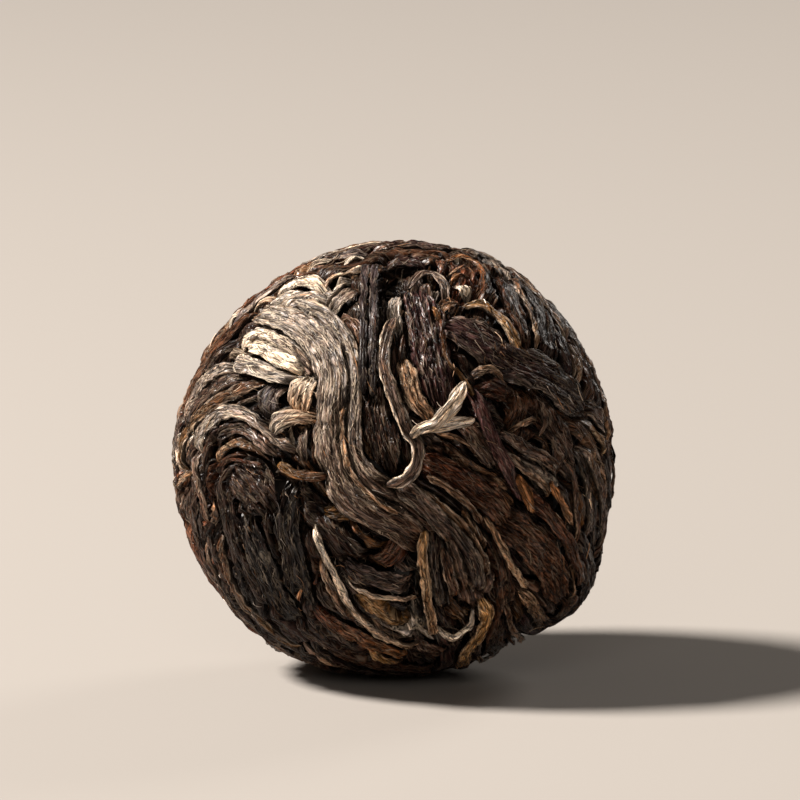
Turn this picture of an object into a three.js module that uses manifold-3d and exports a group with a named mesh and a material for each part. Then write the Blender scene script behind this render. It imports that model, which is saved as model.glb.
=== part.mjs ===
// A hand-pressed ball of raw pu-erh tea: long rolled leaves, stems and downy buds pressed together.
// Millimetres, +Z up. The origin is the middle of the small flat spot that the ball rests on, and the
// side with the broad curled leaf and the golden loop faces -Y.
import * as THREE from "three";
import { mergeVertices } from "three/addons/utils/BufferGeometryUtils.js";
import Module from "manifold-3d";

// Sizes of the whole ball.
const BALL_RADIUS = 13.4;
const MIDDLE_HEIGHT = 13.05;
const CORE_DEPTH = 1.0;
const CORE_DETAIL = 3;

// The ball isn't quite round: its outline radius every 30 degrees, from its right side over the top,
// seen from the front, and the lump of leaf ends that stands out low on the right.
const OUTLINE_RADII = [13.5, 13.4, 13.6, 13.3, 13.1, 13.2, 13.5, 13.5, 13.7, 13.3, 13.5, 13.7];
const LUMP_ANGLE = 323;
const LUMP_HEIGHT = 0.9;
const LUMP_SPREAD = 13;

// The front is laid out as seen from a little above, along this slope.
const VIEW_SLOPE = 9;

// Under the ball the core is full out to the outline, so that the ball is pressed flat there.
const PRESSED_SPREAD = [0.8, 0.95];

// A pressed leaf is a low roof in section, thickest in its middle.
const LEAF_SIDES = 5;
const LEAF_STEP = 2.7;
const LEAF_THICKNESS = 1.3;
const LEAF_ROOT = 1.6;
const THINNEST_TIP = 0.3;

// What is finer than this is smoothed away where leaves cross, and corners closer than the gap are merged.
const FINEST_DETAIL = 0.05;
const SMALLEST_GAP = 0.002;

// Leaves on the front. Each route runs over the face of the ball, in millimetres right and up from
// its middle. Lift is how far the leaf's crest stands above the ball's outline.
const FRONT_LEAVES = [
  // Broad leaves that lie deepest.
  { width: 2.6, lift: -0.45, route: [[-11.8, -1.5], [-10.6, -4.5], [-8.6, -7.6]] },
  { width: 2.6, lift: -0.45, route: [[-5.0, -0.6], [-3.8, -3.0], [-1.5, -4.9]] },
  { width: 2.8, lift: -0.45, route: [[-4.8, -5.2], [-3.0, -7.4], [-0.6, -9.2]] },
  { width: 2.8, lift: -0.45, route: [[8.2, -5.7], [6.8, -8.4], [4.2, -10.5]] },
  { width: 2.4, lift: -0.4, route: [[5.2, 0.1], [7.6, -0.8], [9.8, -2.6]] },
  { width: 2.6, lift: -0.4, route: [[4.9, 6.4], [6.4, 4.4], [6.2, 1.8]] },
  { width: 2.4, lift: -0.3, route: [[-12.7, 3.2], [-11.0, 6.6], [-8.4, 9.4]] },
  { width: 2.2, lift: -0.25, route: [[-5.4, 11.6], [0.0, 12.8], [4.6, 12.0]] },
  { width: 2.2, lift: -0.25, route: [[7.0, 10.6], [9.6, 8.4], [11.4, 5.2]] },
  { width: 2.2, lift: -0.3, route: [[-3.0, -12.2], [2.0, -12.4], [6.4, -11.0]] },
  { width: 2.4, lift: -0.25, route: [[-9.5, -1.0], [-8.3, -2.0], [-6.9, -3.4]] },
  { width: 1.6, lift: -0.2, route: [[-10.6, 0.9], [-9.3, 1.6], [-7.9, 0.6]] },
  { width: 2.1, lift: -0.35, route: [[-8.5, -5.2], [-7.6, -7.3], [-6.2, -9.2]] },
  { width: 1.9, lift: -0.3, route: [[-6.5, -2.3], [-6.5, -4.3], [-5.9, -6.1], [-5.5, -8.4]] },
  { width: 2.0, lift: -0.3, route: [[-0.6, -4.6], [0.1, -5.4], [0.8, -6.4]] },
  { width: 2.1, lift: -0.25, route: [[-1.1, 3.8], [-0.8, 1.4], [-0.1, -1.0]] },
  { width: 2.2, lift: -0.3, route: [[7.7, 3.8], [7.9, 1.1]] },
  { width: 2.2, lift: -0.35, route: [[6.4, -3.8], [7.9, -4.6], [9.2, -5.9]] },
  { width: 1.8, lift: -0.2, route: [[1.9, -0.2], [3.4, -1.0], [4.9, -1.8], [6.2, -2.6]] },
  // The broad curled leaf, the silvery leaves that sweep down to it, and the tongue inside its bend.
  { width: 2.8, lift: 0.15, route: [[-3.2, 4.7], [-3.4, 2.3], [-3.5, 0.3], [-2.7, -1.5], [-1.2, -2.7],
    [0.5, -3.4]] },
  { width: 2.2, lift: 0.0, route: [[-8.3, 8.9], [-6.2, 8.4], [-4.4, 7.5], [-2.9, 6.7], [-2.3, 5.4]] },
  { width: 1.2, lift: 0.1, route: [[-8.9, 8.2], [-7.4, 8.0], [-6.2, 7.1], [-4.9, 5.4]] },
  { width: 1.0, lift: -0.05, route: [[-5.0, 9.2], [-3.5, 8.8], [-2.3, 8.0], [-2.0, 6.8]] },
  { width: 0.8, lift: 0.0, route: [[-2.6, 0.8], [-1.7, -0.5], [-0.4, -1.7]] },
  // The twin stem.
  { width: 0.6, lift: 0.2, route: [[-1.6, 11.6], [-1.65, 7.7], [-1.75, 4.1]] },
  { width: 0.6, lift: 0.15, route: [[-1.0, 11.6], [-1.05, 7.7], [-1.2, 4.1]] },
  // The golden loop, the striped strand beside it and the torn pale strip.
  { width: 0.8, lift: 0.2, route: [[-0.2, 7.9], [-0.6, 5.7], [0.2, 3.1], [1.3, 1.0], [1.1, -0.7],
    [-0.4, -1.6]] },
  { width: 0.8, lift: 0.0, route: [[0.1, 9.9], [-0.1, 8.9], [0.3, 7.6]] },
  { width: 1.2, lift: 0.0, route: [[0.5, 6.2], [1.0, 4.8], [1.4, 3.6], [2.4, 2.6]] },
  { width: 0.8, lift: 0.3, route: [[1.4, 1.7], [2.8, 2.2], [3.7, 3.2], [4.3, 4.3]] },
  // The dark folded blade, the strand that leaves it and turns into the russet band, and what is above.
  { width: 2.7, lift: -0.1, route: [[1.6, 10.2], [1.8, 8.3], [2.2, 6.2], [2.8, 3.6]] },
  { width: 0.9, lift: 0.05, route: [[1.0, 10.8], [1.9, 11.3], [2.8, 10.9], [3.2, 9.8]] },
  { width: 0.8, lift: 0.15, route: [[2.9, 7.1], [4.0, 4.9], [4.9, 3.8], [5.6, 1.6], [6.2, -0.1]] },
  { width: 1.1, lift: 0.1, route: [[6.2, -0.1], [8.2, -2.3], [9.4, -3.5], [10.3, -4.9], [10.8, -7.5]] },
  { width: 1.5, lift: 0.15, route: [[3.5, 12.2], [4.1, 11.0], [4.7, 9.8]] },
  { width: 0.9, lift: 0.1, route: [[4.1, 9.5], [5.8, 9.1], [6.8, 8.3], [7.6, 6.8]] },
  { width: 2.9, lift: 0.0, route: [[3.2, 8.0], [5.2, 7.1], [7.6, 5.8], [10.0, 4.6], [11.8, 3.2]] },
  { width: 0.7, lift: 0.15, route: [[4.6, 5.0], [5.7, 5.4], [6.8, 4.8]] },
  // Right edge.
  { width: 1.0, lift: 0.05, route: [[6.7, 1.6], [7.7, 0.8], [9.1, 0.1], [10.1, -0.7]] },
  { width: 0.9, lift: 0.1, route: [[11.5, 0.8], [12.2, -0.7], [12.6, -2.5], [12.4, -4.6], [11.8, -5.8]] },
  { width: 0.7, lift: 0.0, route: [[10.4, 0.2], [10.9, -1.2], [11.0, -3.4], [10.9, -5.2]] },
  { width: 0.9, lift: 0.0, route: [[10.3, 8.0], [11.2, 6.0], [11.6, 4.2]] },
  // The leaves that fan down under the curl, and the upright strand with the pale hook at its foot.
  { width: 1.3, lift: 0.1, route: [[0.4, -1.7], [1.9, -2.9], [3.4, -4.4], [4.6, -6.0], [5.0, -7.9]] },
  { width: 0.9, lift: 0.05, route: [[5.4, -3.2], [6.4, -5.2], [7.3, -6.8], [7.9, -7.7]] },
  { width: 1.1, lift: 0.1, route: [[2.0, -4.6], [1.9, -6.1], [2.3, -7.9], [2.8, -10.6]] },
  { width: 1.4, lift: -0.1, route: [[2.9, -5.5], [3.5, -7.0], [4.0, -8.5]] },
  { width: 0.7, lift: 0.15, route: [[2.8, -10.6], [3.4, -10.7], [4.7, -9.8], [5.0, -9.2]] },
  { width: 1.1, lift: 0.1, route: [[5.3, -8.5], [5.4, -10.2], [4.9, -11.0], [4.1, -12.7]] },
  // The long pale ridge low on the left, the rippled leaf it holds, and the rust leaf under it.
  { width: 1.5, lift: -0.1, route: [[-2.3, -7.3], [-0.5, -7.5], [1.4, -7.0]] },
  { width: 1.5, lift: -0.1, route: [[-1.9, -8.7], [-0.5, -9.4], [1.1, -10.1]] },
  { width: 1.0, lift: 0.15, route: [[-4.7, -4.3], [-3.5, -6.7], [-2.5, -8.6], [-0.8, -10.6], [1.3, -11.5]] },
  { width: 1.5, lift: -0.05, route: [[-4.9, -9.3], [-3.5, -10.1], [-2.0, -10.9], [0.2, -11.7]] },
  { width: 1.0, lift: 0.0, route: [[-0.8, -12.3], [1.6, -12.0], [3.2, -12.1]] },
  // Left edge: the strand bent like a C, the pale rim strands and the long strands below them.
  { width: 1.1, lift: 0.15, route: [[-6.2, 0.7], [-7.6, 2.0], [-9.1, 2.9], [-10.2, 2.8], [-11.3, 1.8],
    [-11.9, -0.1], [-11.5, -1.9], [-10.8, -4.6]] },
  { width: 1.0, lift: 0.05, route: [[-9.7, 5.2], [-11.0, 4.3], [-12.2, 3.2], [-12.9, 1.7], [-13.0, -1.2]] },
  { width: 1.0, lift: 0.0, route: [[-8.9, 4.5], [-10.3, 3.7], [-11.6, 2.8], [-12.4, 0.9]] },
  { width: 0.8, lift: 0.1, route: [[-10.7, -4.7], [-9.8, -7.5], [-7.9, -9.8], [-5.6, -11.6]] },
  { width: 0.8, lift: 0.1, route: [[-11.8, -4.2], [-10.9, -7.0], [-8.6, -10.1], [-6.2, -11.8]] },
  // Downy buds, high on the left.
  { width: 1.1, lift: 0.2, route: [[-9.4, 6.9], [-7.9, 7.5], [-6.5, 6.7], [-5.0, 5.2]] },
  { width: 0.9, lift: 0.15, route: [[-10.0, 6.4], [-8.5, 6.5], [-7.0, 5.9], [-5.6, 5.2]] },
  { width: 0.8, lift: 0.05, route: [[-9.7, 5.4], [-8.0, 4.9], [-5.6, 4.8]] },
  { width: 1.7, lift: 0.15, route: [[-8.5, 9.5], [-7.0, 10.3], [-5.6, 10.6], [-4.6, 10.3]] },
  { width: 1.6, lift: 0.15, route: [[-4.3, 9.5], [-3.4, 10.4], [-2.0, 11.0]] },
  { width: 1.4, lift: 0.15, route: [[-6.2, 3.4], [-5.5, 4.4], [-4.6, 4.6]] },
  { width: 1.3, lift: 0.15, route: [[-7.3, 2.0], [-6.4, 2.8], [-4.7, 2.9]] },
];

// Leaves on the sides, the back, the top and underneath follow a rule: evenly spread middles, each leaf
// along the swirl in which the ball was twisted shut, turned a little at random.
const OTHER_LEAVES = 72;
const OTHER_WIDTH = [1.6, 3.2];
const OTHER_LENGTH = [10, 18];
const OTHER_LIFT = [-0.35, 0.2];
const OTHER_TURN = 32;
const OTHER_BEND = 0.5;
const FRONT_EDGE = 0.25;
const RANDOM_SEED = 20417;

const DEGREES = Math.PI / 180;
const GOLDEN_ANGLE = Math.PI * (3 - Math.sqrt(5));
const TWIST_AXIS = new THREE.Vector3(0.05, -0.75, 0.66).normalize();

// View directions: right, up and towards the viewer.
const VIEW_RIGHT = new THREE.Vector3(1, 0, 0);
const VIEW_UP = new THREE.Vector3(0, Math.sin(VIEW_SLOPE * DEGREES), Math.cos(VIEW_SLOPE * DEGREES));
const VIEW_NEAR = new THREE.Vector3(0, -Math.cos(VIEW_SLOPE * DEGREES), Math.sin(VIEW_SLOPE * DEGREES));

// Random numbers from 0 to 1, the same each time.
let randomState = RANDOM_SEED;
function random() {
  randomState = (randomState * 1664525 + 1013904223) % 4294967296;
  return randomState / 4294967296;
}

function randomBetween([low, high]) {
  return low + (high - low) * random();
}

// The ball's radius in a direction: the outline's where the direction lies on the outline, and the
// plain radius towards the front and the back.
function ballRadius(direction) {
  const right = direction.dot(VIEW_RIGHT);
  const up = direction.dot(VIEW_UP);
  const angle = (Math.atan2(up, right) / DEGREES + 360) % 360;
  const place = angle / 30;
  const before = Math.floor(place) % OUTLINE_RADII.length;
  const after = (before + 1) % OUTLINE_RADII.length;
  const blend = THREE.MathUtils.smoothstep(place - Math.floor(place), 0, 1);
  const lump = LUMP_HEIGHT * Math.exp(-(((angle - LUMP_ANGLE) / LUMP_SPREAD) ** 2));
  const outline = THREE.MathUtils.lerp(OUTLINE_RADII[before], OUTLINE_RADII[after], blend) + lump;
  const nearOutline = Math.hypot(right, up) ** 4;
  return THREE.MathUtils.lerp(BALL_RADIUS, outline, nearOutline);
}

// The direction from the ball's middle to a place on its face.
function faceDirection([right, up]) {
  const flat = Math.hypot(right, up) / BALL_RADIUS;
  const near = Math.sqrt(Math.max(0, 1 - flat * flat));
  return new THREE.Vector3()
    .addScaledVector(VIEW_RIGHT, right / BALL_RADIUS)
    .addScaledVector(VIEW_UP, up / BALL_RADIUS)
    .addScaledVector(VIEW_NEAR, near)
    .normalize();
}

// Turns a three.js geometry into a closed solid whose shared corners are merged.
function solidOf(wasm, geometry, nearest = 1e-5) {
  geometry.deleteAttribute("normal");
  geometry.deleteAttribute("uv");
  const merged = mergeVertices(geometry, nearest);
  return new wasm.Manifold(new wasm.Mesh({
    numProp: 3,
    vertProperties: new Float32Array(merged.attributes.position.array),
    triVerts: new Uint32Array(merged.index.array),
  }));
}

// The core: a sphere of triangles pushed out to just under the ball's outline.
function coreGeometry() {
  const geometry = new THREE.IcosahedronGeometry(1, CORE_DETAIL);
  const position = geometry.attributes.position;
  const direction = new THREE.Vector3();
  for (let i = 0; i < position.count; i += 1) {
    direction.fromBufferAttribute(position, i).normalize();
    const pressed = THREE.MathUtils.smoothstep(-direction.z, ...PRESSED_SPREAD);
    direction.multiplyScalar(ballRadius(direction) - CORE_DEPTH * (1 - pressed));
    position.setXYZ(i, direction.x, direction.y, direction.z);
  }
  return geometry;
}

// A leaf: a cylinder with few sides, flattened and laid along a route of directions on the ball. Its
// lower half reaches down into the core.
function leafGeometry(directions, width, lift) {
  const curve = new THREE.CatmullRomCurve3(directions);
  const length = curve.getLength() * BALL_RADIUS;
  const steps = Math.max(3, Math.round(length / LEAF_STEP));
  const geometry = new THREE.CylinderGeometry(1, 1, 1, LEAF_SIDES, steps);
  const thickness = Math.min(LEAF_THICKNESS, 0.35 + 0.6 * width);
  const position = geometry.attributes.position;
  for (let i = 0; i < position.count; i += 1) {
    const along = THREE.MathUtils.clamp(0.5 - position.getY(i), 0, 1);
    const up = curve.getPointAt(along).normalize();
    const ahead = curve.getTangentAt(along);
    const side = new THREE.Vector3().crossVectors(up, ahead).normalize();
    const tip = Math.sin(Math.PI * THREE.MathUtils.lerp(0.12, 0.88, along));
    const taper = Math.max(THINNEST_TIP, Math.min(1, 1.25 * tip));
    const across = position.getX(i) * (width / 2) * taper;
    const below = (1 - position.getZ(i) * taper) * (thickness / 2);
    const outline = ballRadius(up);
    const crest = outline + lift;
    const point = up.multiplyScalar(crest).addScaledVector(side, across);
    point.setLength(position.getZ(i) < 0 ? outline - LEAF_ROOT : crest - below);
    position.setXYZ(i, point.x, point.y, point.z);
  }
  return geometry;
}

// Directions along a leaf that starts from its middle, follows the twist and bends a little.
function twistedRoute(middle) {
  const length = randomBetween(OTHER_LENGTH) / BALL_RADIUS;
  const turn = randomBetween([-OTHER_TURN, OTHER_TURN]) * DEGREES;
  const bend = randomBetween([-OTHER_BEND, OTHER_BEND]);
  const around = new THREE.Vector3().crossVectors(TWIST_AXIS, middle).normalize();
  const ahead = around.applyAxisAngle(middle, turn);
  const side = new THREE.Vector3().crossVectors(middle, ahead);
  return [-0.5, -0.25, 0, 0.25, 0.5].map((place) => {
    const angle = place * length;
    return middle.clone()
      .multiplyScalar(Math.cos(angle))
      .addScaledVector(ahead, Math.sin(angle))
      .addScaledVector(side, bend * angle * angle)
      .normalize();
  });
}

// Evenly spread directions over the whole ball, the top first.
function spreadDirection(index, count) {
  const z = 1 - (2 * index + 1) / count;
  const flat = Math.sqrt(1 - z * z);
  return new THREE.Vector3(flat * Math.cos(GOLDEN_ANGLE * index), flat * Math.sin(GOLDEN_ANGLE * index), z);
}

const wasm = await Module();
wasm.setup();

let ball = solidOf(wasm, coreGeometry());
for (const { width, lift, route } of FRONT_LEAVES) {
  ball = ball.add(solidOf(wasm, leafGeometry(route.map(faceDirection), width, lift)));
}
for (let i = 0; i < OTHER_LEAVES; i += 1) {
  const middle = spreadDirection(i, OTHER_LEAVES);
  if (middle.dot(VIEW_NEAR) < FRONT_EDGE) {
    const width = randomBetween(OTHER_WIDTH);
    const lift = randomBetween(OTHER_LIFT);
    ball = ball.add(solidOf(wasm, leafGeometry(twistedRoute(middle), width, lift)));
  }
}

// The flat spot that the ball rests on: all below it is cut away.
const below = new THREE.BoxGeometry(4 * BALL_RADIUS, 4 * BALL_RADIUS, BALL_RADIUS);
below.translate(0, 0, -MIDDLE_HEIGHT - BALL_RADIUS / 2);
ball = ball.subtract(solidOf(wasm, below));

// Turns a solid back into a three.js geometry.
function geometryOf(solid) {
  const mesh = solid.getMesh();
  const geometry = new THREE.BufferGeometry();
  geometry.setAttribute("position", new THREE.BufferAttribute(new Float32Array(mesh.vertProperties), 3));
  geometry.setIndex(new THREE.BufferAttribute(new Uint32Array(mesh.triVerts), 1));
  return geometry;
}

// The largest body of a solid, without loose scraps and without the hollows that the leaves have shut in.
function largestBody(solid) {
  return solid.decompose().reduce((kept, body) => (body.volume() > kept.volume() ? body : kept));
}

// Corners that all but touch are merged. That can pinch off another hollow, so the body is picked again
// until it is a single one.
let joined = largestBody(ball.simplify(FINEST_DETAIL));
for (let bodies = 0; bodies !== 1;) {
  const merged = solidOf(wasm, geometryOf(joined), SMALLEST_GAP);
  bodies = merged.decompose().length;
  joined = largestBody(merged);
}

const teaBall = new THREE.Mesh(
  geometryOf(joined),
  new THREE.MeshStandardMaterial({ color: 0x4a3a2c, roughness: 0.75, metalness: 0 }),
);
teaBall.name = "tea_ball";
teaBall.position.set(0, 0, MIDDLE_HEIGHT);

const group = new THREE.Group();
group.add(teaBall);
export default group;
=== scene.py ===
# A hand-pressed ball of raw pu-erh tea, stood on a pale floor under soft light from the upper left.
import math

import bmesh
import bpy
import numpy as np
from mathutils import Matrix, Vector


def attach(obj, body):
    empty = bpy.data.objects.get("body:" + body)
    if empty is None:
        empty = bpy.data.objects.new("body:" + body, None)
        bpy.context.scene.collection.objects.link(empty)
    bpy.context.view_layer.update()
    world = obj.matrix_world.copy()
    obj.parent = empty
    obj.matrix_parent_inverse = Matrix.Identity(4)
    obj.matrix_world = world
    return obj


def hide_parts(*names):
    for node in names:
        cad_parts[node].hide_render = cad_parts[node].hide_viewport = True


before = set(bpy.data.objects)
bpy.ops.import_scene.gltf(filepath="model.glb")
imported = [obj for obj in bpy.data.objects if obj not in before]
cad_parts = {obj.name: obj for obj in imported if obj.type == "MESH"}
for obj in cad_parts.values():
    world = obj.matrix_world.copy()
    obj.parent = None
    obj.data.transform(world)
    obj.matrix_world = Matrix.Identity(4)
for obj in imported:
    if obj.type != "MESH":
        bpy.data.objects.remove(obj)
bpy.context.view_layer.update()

# The camera looks a little down on the front of the ball through a long lens. Places on the ball's face
# are given as seen from it, in millimetres right of and above the ball's middle.
MM = 0.001
BALL_RADIUS = 13.4
MIDDLE_HEIGHT = 13.05
VIEW_SLOPE = math.radians(9)
VIEW_DISTANCE = 600
VIEW_WIDTH = 48
VIEW_AIM = (0.36, 3.5)
SENSOR_WIDTH = 36
view_right = np.array([1.0, 0.0, 0.0])
view_up = np.array([0.0, math.sin(VIEW_SLOPE), math.cos(VIEW_SLOPE)])
view_near = np.array([0.0, -math.cos(VIEW_SLOPE), math.sin(VIEW_SLOPE)])
ball_middle = np.array([0.0, 0.0, MIDDLE_HEIGHT])

camera = bpy.data.objects.new("camera", bpy.data.cameras.new("camera"))
camera.data.sensor_width = SENSOR_WIDTH
camera.data.lens = SENSOR_WIDTH * VIEW_DISTANCE / VIEW_WIDTH
aim = ball_middle + VIEW_AIM[0] * view_right + VIEW_AIM[1] * view_up
camera.location = Vector((aim + VIEW_DISTANCE * view_near) * MM)
camera.rotation_euler = Vector(-view_near).to_track_quat("-Z", "Y").to_euler()
bpy.context.scene.collection.objects.link(camera)
bpy.context.scene.camera = camera

# The floor is a plain pale sheet of paper, so wide that it reaches past the picture on every side. The ball
# stands on it at height 0.
FLOOR_SIZE = 2400
FLOOR_COLOUR = (0.34, 0.315, 0.29, 1)

sheet = bmesh.new()
bmesh.ops.create_grid(sheet, x_segments=1, y_segments=1, size=FLOOR_SIZE / 2 * MM)
floor_mesh = bpy.data.meshes.new("floor")
sheet.to_mesh(floor_mesh)
sheet.free()
floor = bpy.data.objects.new("floor", floor_mesh)
bpy.context.scene.collection.objects.link(floor)
paper = bpy.data.materials.new("pale_paper")
paper.use_nodes = True
paper.node_tree.nodes["Principled BSDF"].inputs["Base Color"].default_value = FLOOR_COLOUR
paper.node_tree.nodes["Principled BSDF"].inputs["Roughness"].default_value = 0.85
floor_mesh.materials.append(paper)

# Soft light: a large lamp high on the left, weak ones in front and behind on the right, and a dim room.
# Each lamp has its place as seen from the camera in millimetres (right, up, near), its size and its power.
LAMPS = [
    ("key", (-600, 660, 140), 200, 22),
    ("front", (-80, 260, 840), 400, 1.0),
    ("edge", (480, 520, -560), 320, 2.2),
]
LAMP_COLOUR = (1.0, 0.935, 0.87)
ROOM_LIGHT = (1.0, 0.88, 0.77, 1)
ROOM_STRENGTH = 0.05

for name, (right, up, near), size, power in LAMPS:
    lamp = bpy.data.objects.new(name, bpy.data.lights.new(name, "AREA"))
    lamp.data.shape = "DISK"
    lamp.data.size = size * MM
    lamp.data.energy = power
    lamp.data.color = LAMP_COLOUR
    place = ball_middle + right * view_right + up * view_up + near * view_near
    lamp.location = Vector(place * MM)
    lamp.rotation_euler = Vector(ball_middle - place).to_track_quat("-Z", "Y").to_euler()
    bpy.context.scene.collection.objects.link(lamp)
room = bpy.data.worlds.new("room")
room.use_nodes = True
room.node_tree.nodes["Background"].inputs["Color"].default_value = ROOM_LIGHT
room.node_tree.nodes["Background"].inputs["Strength"].default_value = ROOM_STRENGTH
bpy.context.scene.world = room
bpy.context.scene.view_settings.view_transform = "Standard"

# Torn strips are scraps of pale leaf skin that lie on top of everything. They are the first to be laid,
# because the ball was pressed in a cloth: whatever shows reaches its outline, and what crosses under a
# leaf ducks below it. A map of the ball keeps how deep the space under the leaves laid so far begins.

# Every length, width, height and depth is in millimetres. The outline's radii are those every 30 degrees,
# from the right by way of the top, and the lump is what makes it stick out low on the right.
OUTLINE_STEP = 30
OUTLINE_RADII = [13.5, 13.4, 13.6, 13.3, 13.1, 13.2, 13.5, 13.5, 13.7, 13.3, 13.5, 13.7]
LUMP_ANGLE = 323
LUMP_HEIGHT = 0.9
LUMP_SPREAD = 13

# The map has six sheets of so many cells each way. Where nothing lies yet, its top is open sky.
MAP_CELLS = 150
OPEN_SKY = 9.0

# A leaf has rows along it and columns across it, a curved section, and an edge with a thin roll. Its middle
# line bends, its width comes and goes, its edge is ragged, and its ends tuck under and are torn in teeth.
ROW_STEP = 0.24
COLUMN_STEP = 0.06
UNDER_COLUMNS = 3
PATH_STEPS = 16
CROWN = 0.3
END_WIDTHS, END_MORE, LONGEST_END = 0.8, 0.4, 0.45
ROLL_HEIGHT = 0.06
ROLL_WIDTH = 0.09
ROLL_INSET = 0.12
WAIST_LENGTH = 1.6
BEND_LENGTH = 3.0
BEND = 0.1
RAGGED_LENGTH = 0.45
RAGGED = 0.07
TOOTH = 0.22
RIPPLE = 0.1
FINE_GAP, FINE_RIDGES = 0.55, 0.35
SHINGLE_RISE = 0.85
FOLD_WIDTH = 0.03
CREASE_LENGTHS = (0.8, 0.45)
SMALL_CREASES = 0.45
TUCK_LENGTH = 0.4

# Painted shade darkens its edges, its underside and where it lies deep. A pale rim takes up a share of it.
EDGE_DARK = 0.3
SHADOW = 0.4
UNDER_TINT = 0.4
RIM_SHARE = 0.25

# Where a leaf crosses under others it ducks by what they need, with some clearance, and its ends dive.
DIVE = 0.3
DIVE_LENGTH = 0.9
DUCK_LENGTH = 0.3
DEEP = 0.5
CLEARANCE = 0.03

# Fibres lie on a sheet, where each leaf has a random place. Flattened leaves are packed on another.
HAIR_BEND = 0.12
FIBRE_SHEET = 400
UV_MARGIN = 0.1
UV_LEAF = 1.3
UV_UPPER = 0.85

SEED = 20417
random = np.random.default_rng(SEED)
depth_map = np.zeros(6 * MAP_CELLS ** 2)
covered = np.zeros(6 * MAP_CELLS ** 2, bool)
top_map = np.full(6 * MAP_CELLS ** 2, OPEN_SKY)
flow_places, flow_ways = [], []


def unit(vectors):
    return vectors / np.maximum(np.linalg.norm(vectors, axis=-1, keepdims=True), 1e-9)


def ball_radius(directions):
    """The outline's radius along each direction, as in the solid that the leaves stand for."""
    right = directions @ view_right
    up = directions @ view_up
    angle = np.degrees(np.arctan2(up, right)) % 360
    place = angle / OUTLINE_STEP
    before = np.floor(place).astype(int) % len(OUTLINE_RADII)
    share = place - np.floor(place)
    share = share * share * (3 - 2 * share)
    radii = np.array(OUTLINE_RADII)
    outline = radii[before] * (1 - share) + radii[(before + 1) % len(radii)] * share
    outline = outline + LUMP_HEIGHT * np.exp(-(((angle - LUMP_ANGLE) / LUMP_SPREAD) ** 2))
    near_outline = np.hypot(right, up) ** 4
    radius = BALL_RADIUS * (1 - near_outline) + outline * near_outline
    downward = np.maximum(-directions[..., 2], 1e-6)
    return np.minimum(radius, MIDDLE_HEIGHT / downward)


def map_cell(directions):
    """The number of the map's cell that each direction falls in, on six square sheets round the ball."""
    axis = np.argmax(np.abs(directions), axis=-1)
    major = np.take_along_axis(directions, axis[..., None], -1)[..., 0]
    first = np.take_along_axis(directions, (axis[..., None] + 1) % 3, -1)[..., 0] / np.abs(major)
    second = np.take_along_axis(directions, (axis[..., None] + 2) % 3, -1)[..., 0] / np.abs(major)
    row = ((np.arctan(first) * 4 / math.pi + 1) / 2 * MAP_CELLS).astype(int).clip(0, MAP_CELLS - 1)
    column = ((np.arctan(second) * 4 / math.pi + 1) / 2 * MAP_CELLS).astype(int).clip(0, MAP_CELLS - 1)
    return ((axis * 2 + (major < 0)) * MAP_CELLS + row) * MAP_CELLS + column


def cell_middles():
    """The direction of the middle of every cell of the map."""
    number = np.arange(6 * MAP_CELLS ** 2)
    column = number % MAP_CELLS
    row = number // MAP_CELLS % MAP_CELLS
    sheet_number = number // MAP_CELLS ** 2
    axis = sheet_number // 2
    middles = np.zeros((len(number), 3))
    middles[number, axis] = np.where(sheet_number % 2, -1.0, 1.0)
    middles[number, (axis + 1) % 3] = np.tan(((row + 0.5) / MAP_CELLS * 2 - 1) * math.pi / 4)
    middles[number, (axis + 2) % 3] = np.tan(((column + 0.5) / MAP_CELLS * 2 - 1) * math.pi / 4)
    return unit(middles)


cell_directions = cell_middles()


def route(*points):
    """Directions to places on the ball's face."""
    flat = np.array(points, float) / BALL_RADIUS
    near = np.sqrt(np.maximum(0, 1 - (flat ** 2).sum(axis=1)))
    return unit(flat[:, :1] * view_right + flat[:, 1:] * view_up + near[:, None] * view_near)


def smooth_path(points, step):
    """A smooth path of directions through the given ones, with rows a step apart."""
    points = np.array(points)
    padded = np.vstack([2 * points[0] - points[1], points, 2 * points[-1] - points[-2]])
    pieces = []
    for a, b, c, d in zip(padded, padded[1:], padded[2:], padded[3:]):
        t = np.linspace(0, 1, PATH_STEPS, endpoint=False)[:, None]
        pieces.append(0.5 * (2 * b + (c - a) * t + (2 * a - 5 * b + 4 * c - d) * t ** 2
                             + (3 * b - a - 3 * c + d) * t ** 3))
    path = unit(np.vstack(pieces + [points[-1:]]))
    travelled = np.cumsum(np.linalg.norm(np.diff(path, axis=0), axis=1)) * BALL_RADIUS
    travelled = np.concatenate([[0], travelled])
    even = np.linspace(0, travelled[-1], max(6, int(travelled[-1] / step) + 1))
    return unit(np.stack([np.interp(even, travelled, path[:, k]) for k in range(3)], axis=1)), even


def wander(count, bend, size):
    """A smooth random curve of that many samples, with knots a bend apart, between -size and size."""
    knots = random.uniform(-size, size, int(count / bend) + 3)
    place = np.linspace(0, len(knots) - 2.001, count)
    before = np.floor(place).astype(int)
    share = place - before
    share = share * share * (3 - 2 * share)
    return knots[before] * (1 - share) + knots[before + 1] * share


def patches(rows, columns, patch_rows, patch_columns):
    """Smooth random patches between 0 and 1 over a grid of rows and columns."""
    knots = random.random((int(rows / patch_rows) + 3, int(columns / patch_columns) + 3))
    along = np.linspace(0, knots.shape[0] - 2.001, rows)[:, None]
    across = np.linspace(0, knots.shape[1] - 2.001, columns)[None, :]
    a = np.floor(along).astype(int)
    b = np.floor(across).astype(int)
    s = along - a
    t = across - b
    s = s * s * (3 - 2 * s)
    t = t * t * (3 - 2 * t)
    low = knots[a, b] * (1 - t) + knots[a, b + 1] * t
    high = knots[a + 1, b] * (1 - t) + knots[a + 1, b + 1] * t
    return low * (1 - s) + high * s


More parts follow.
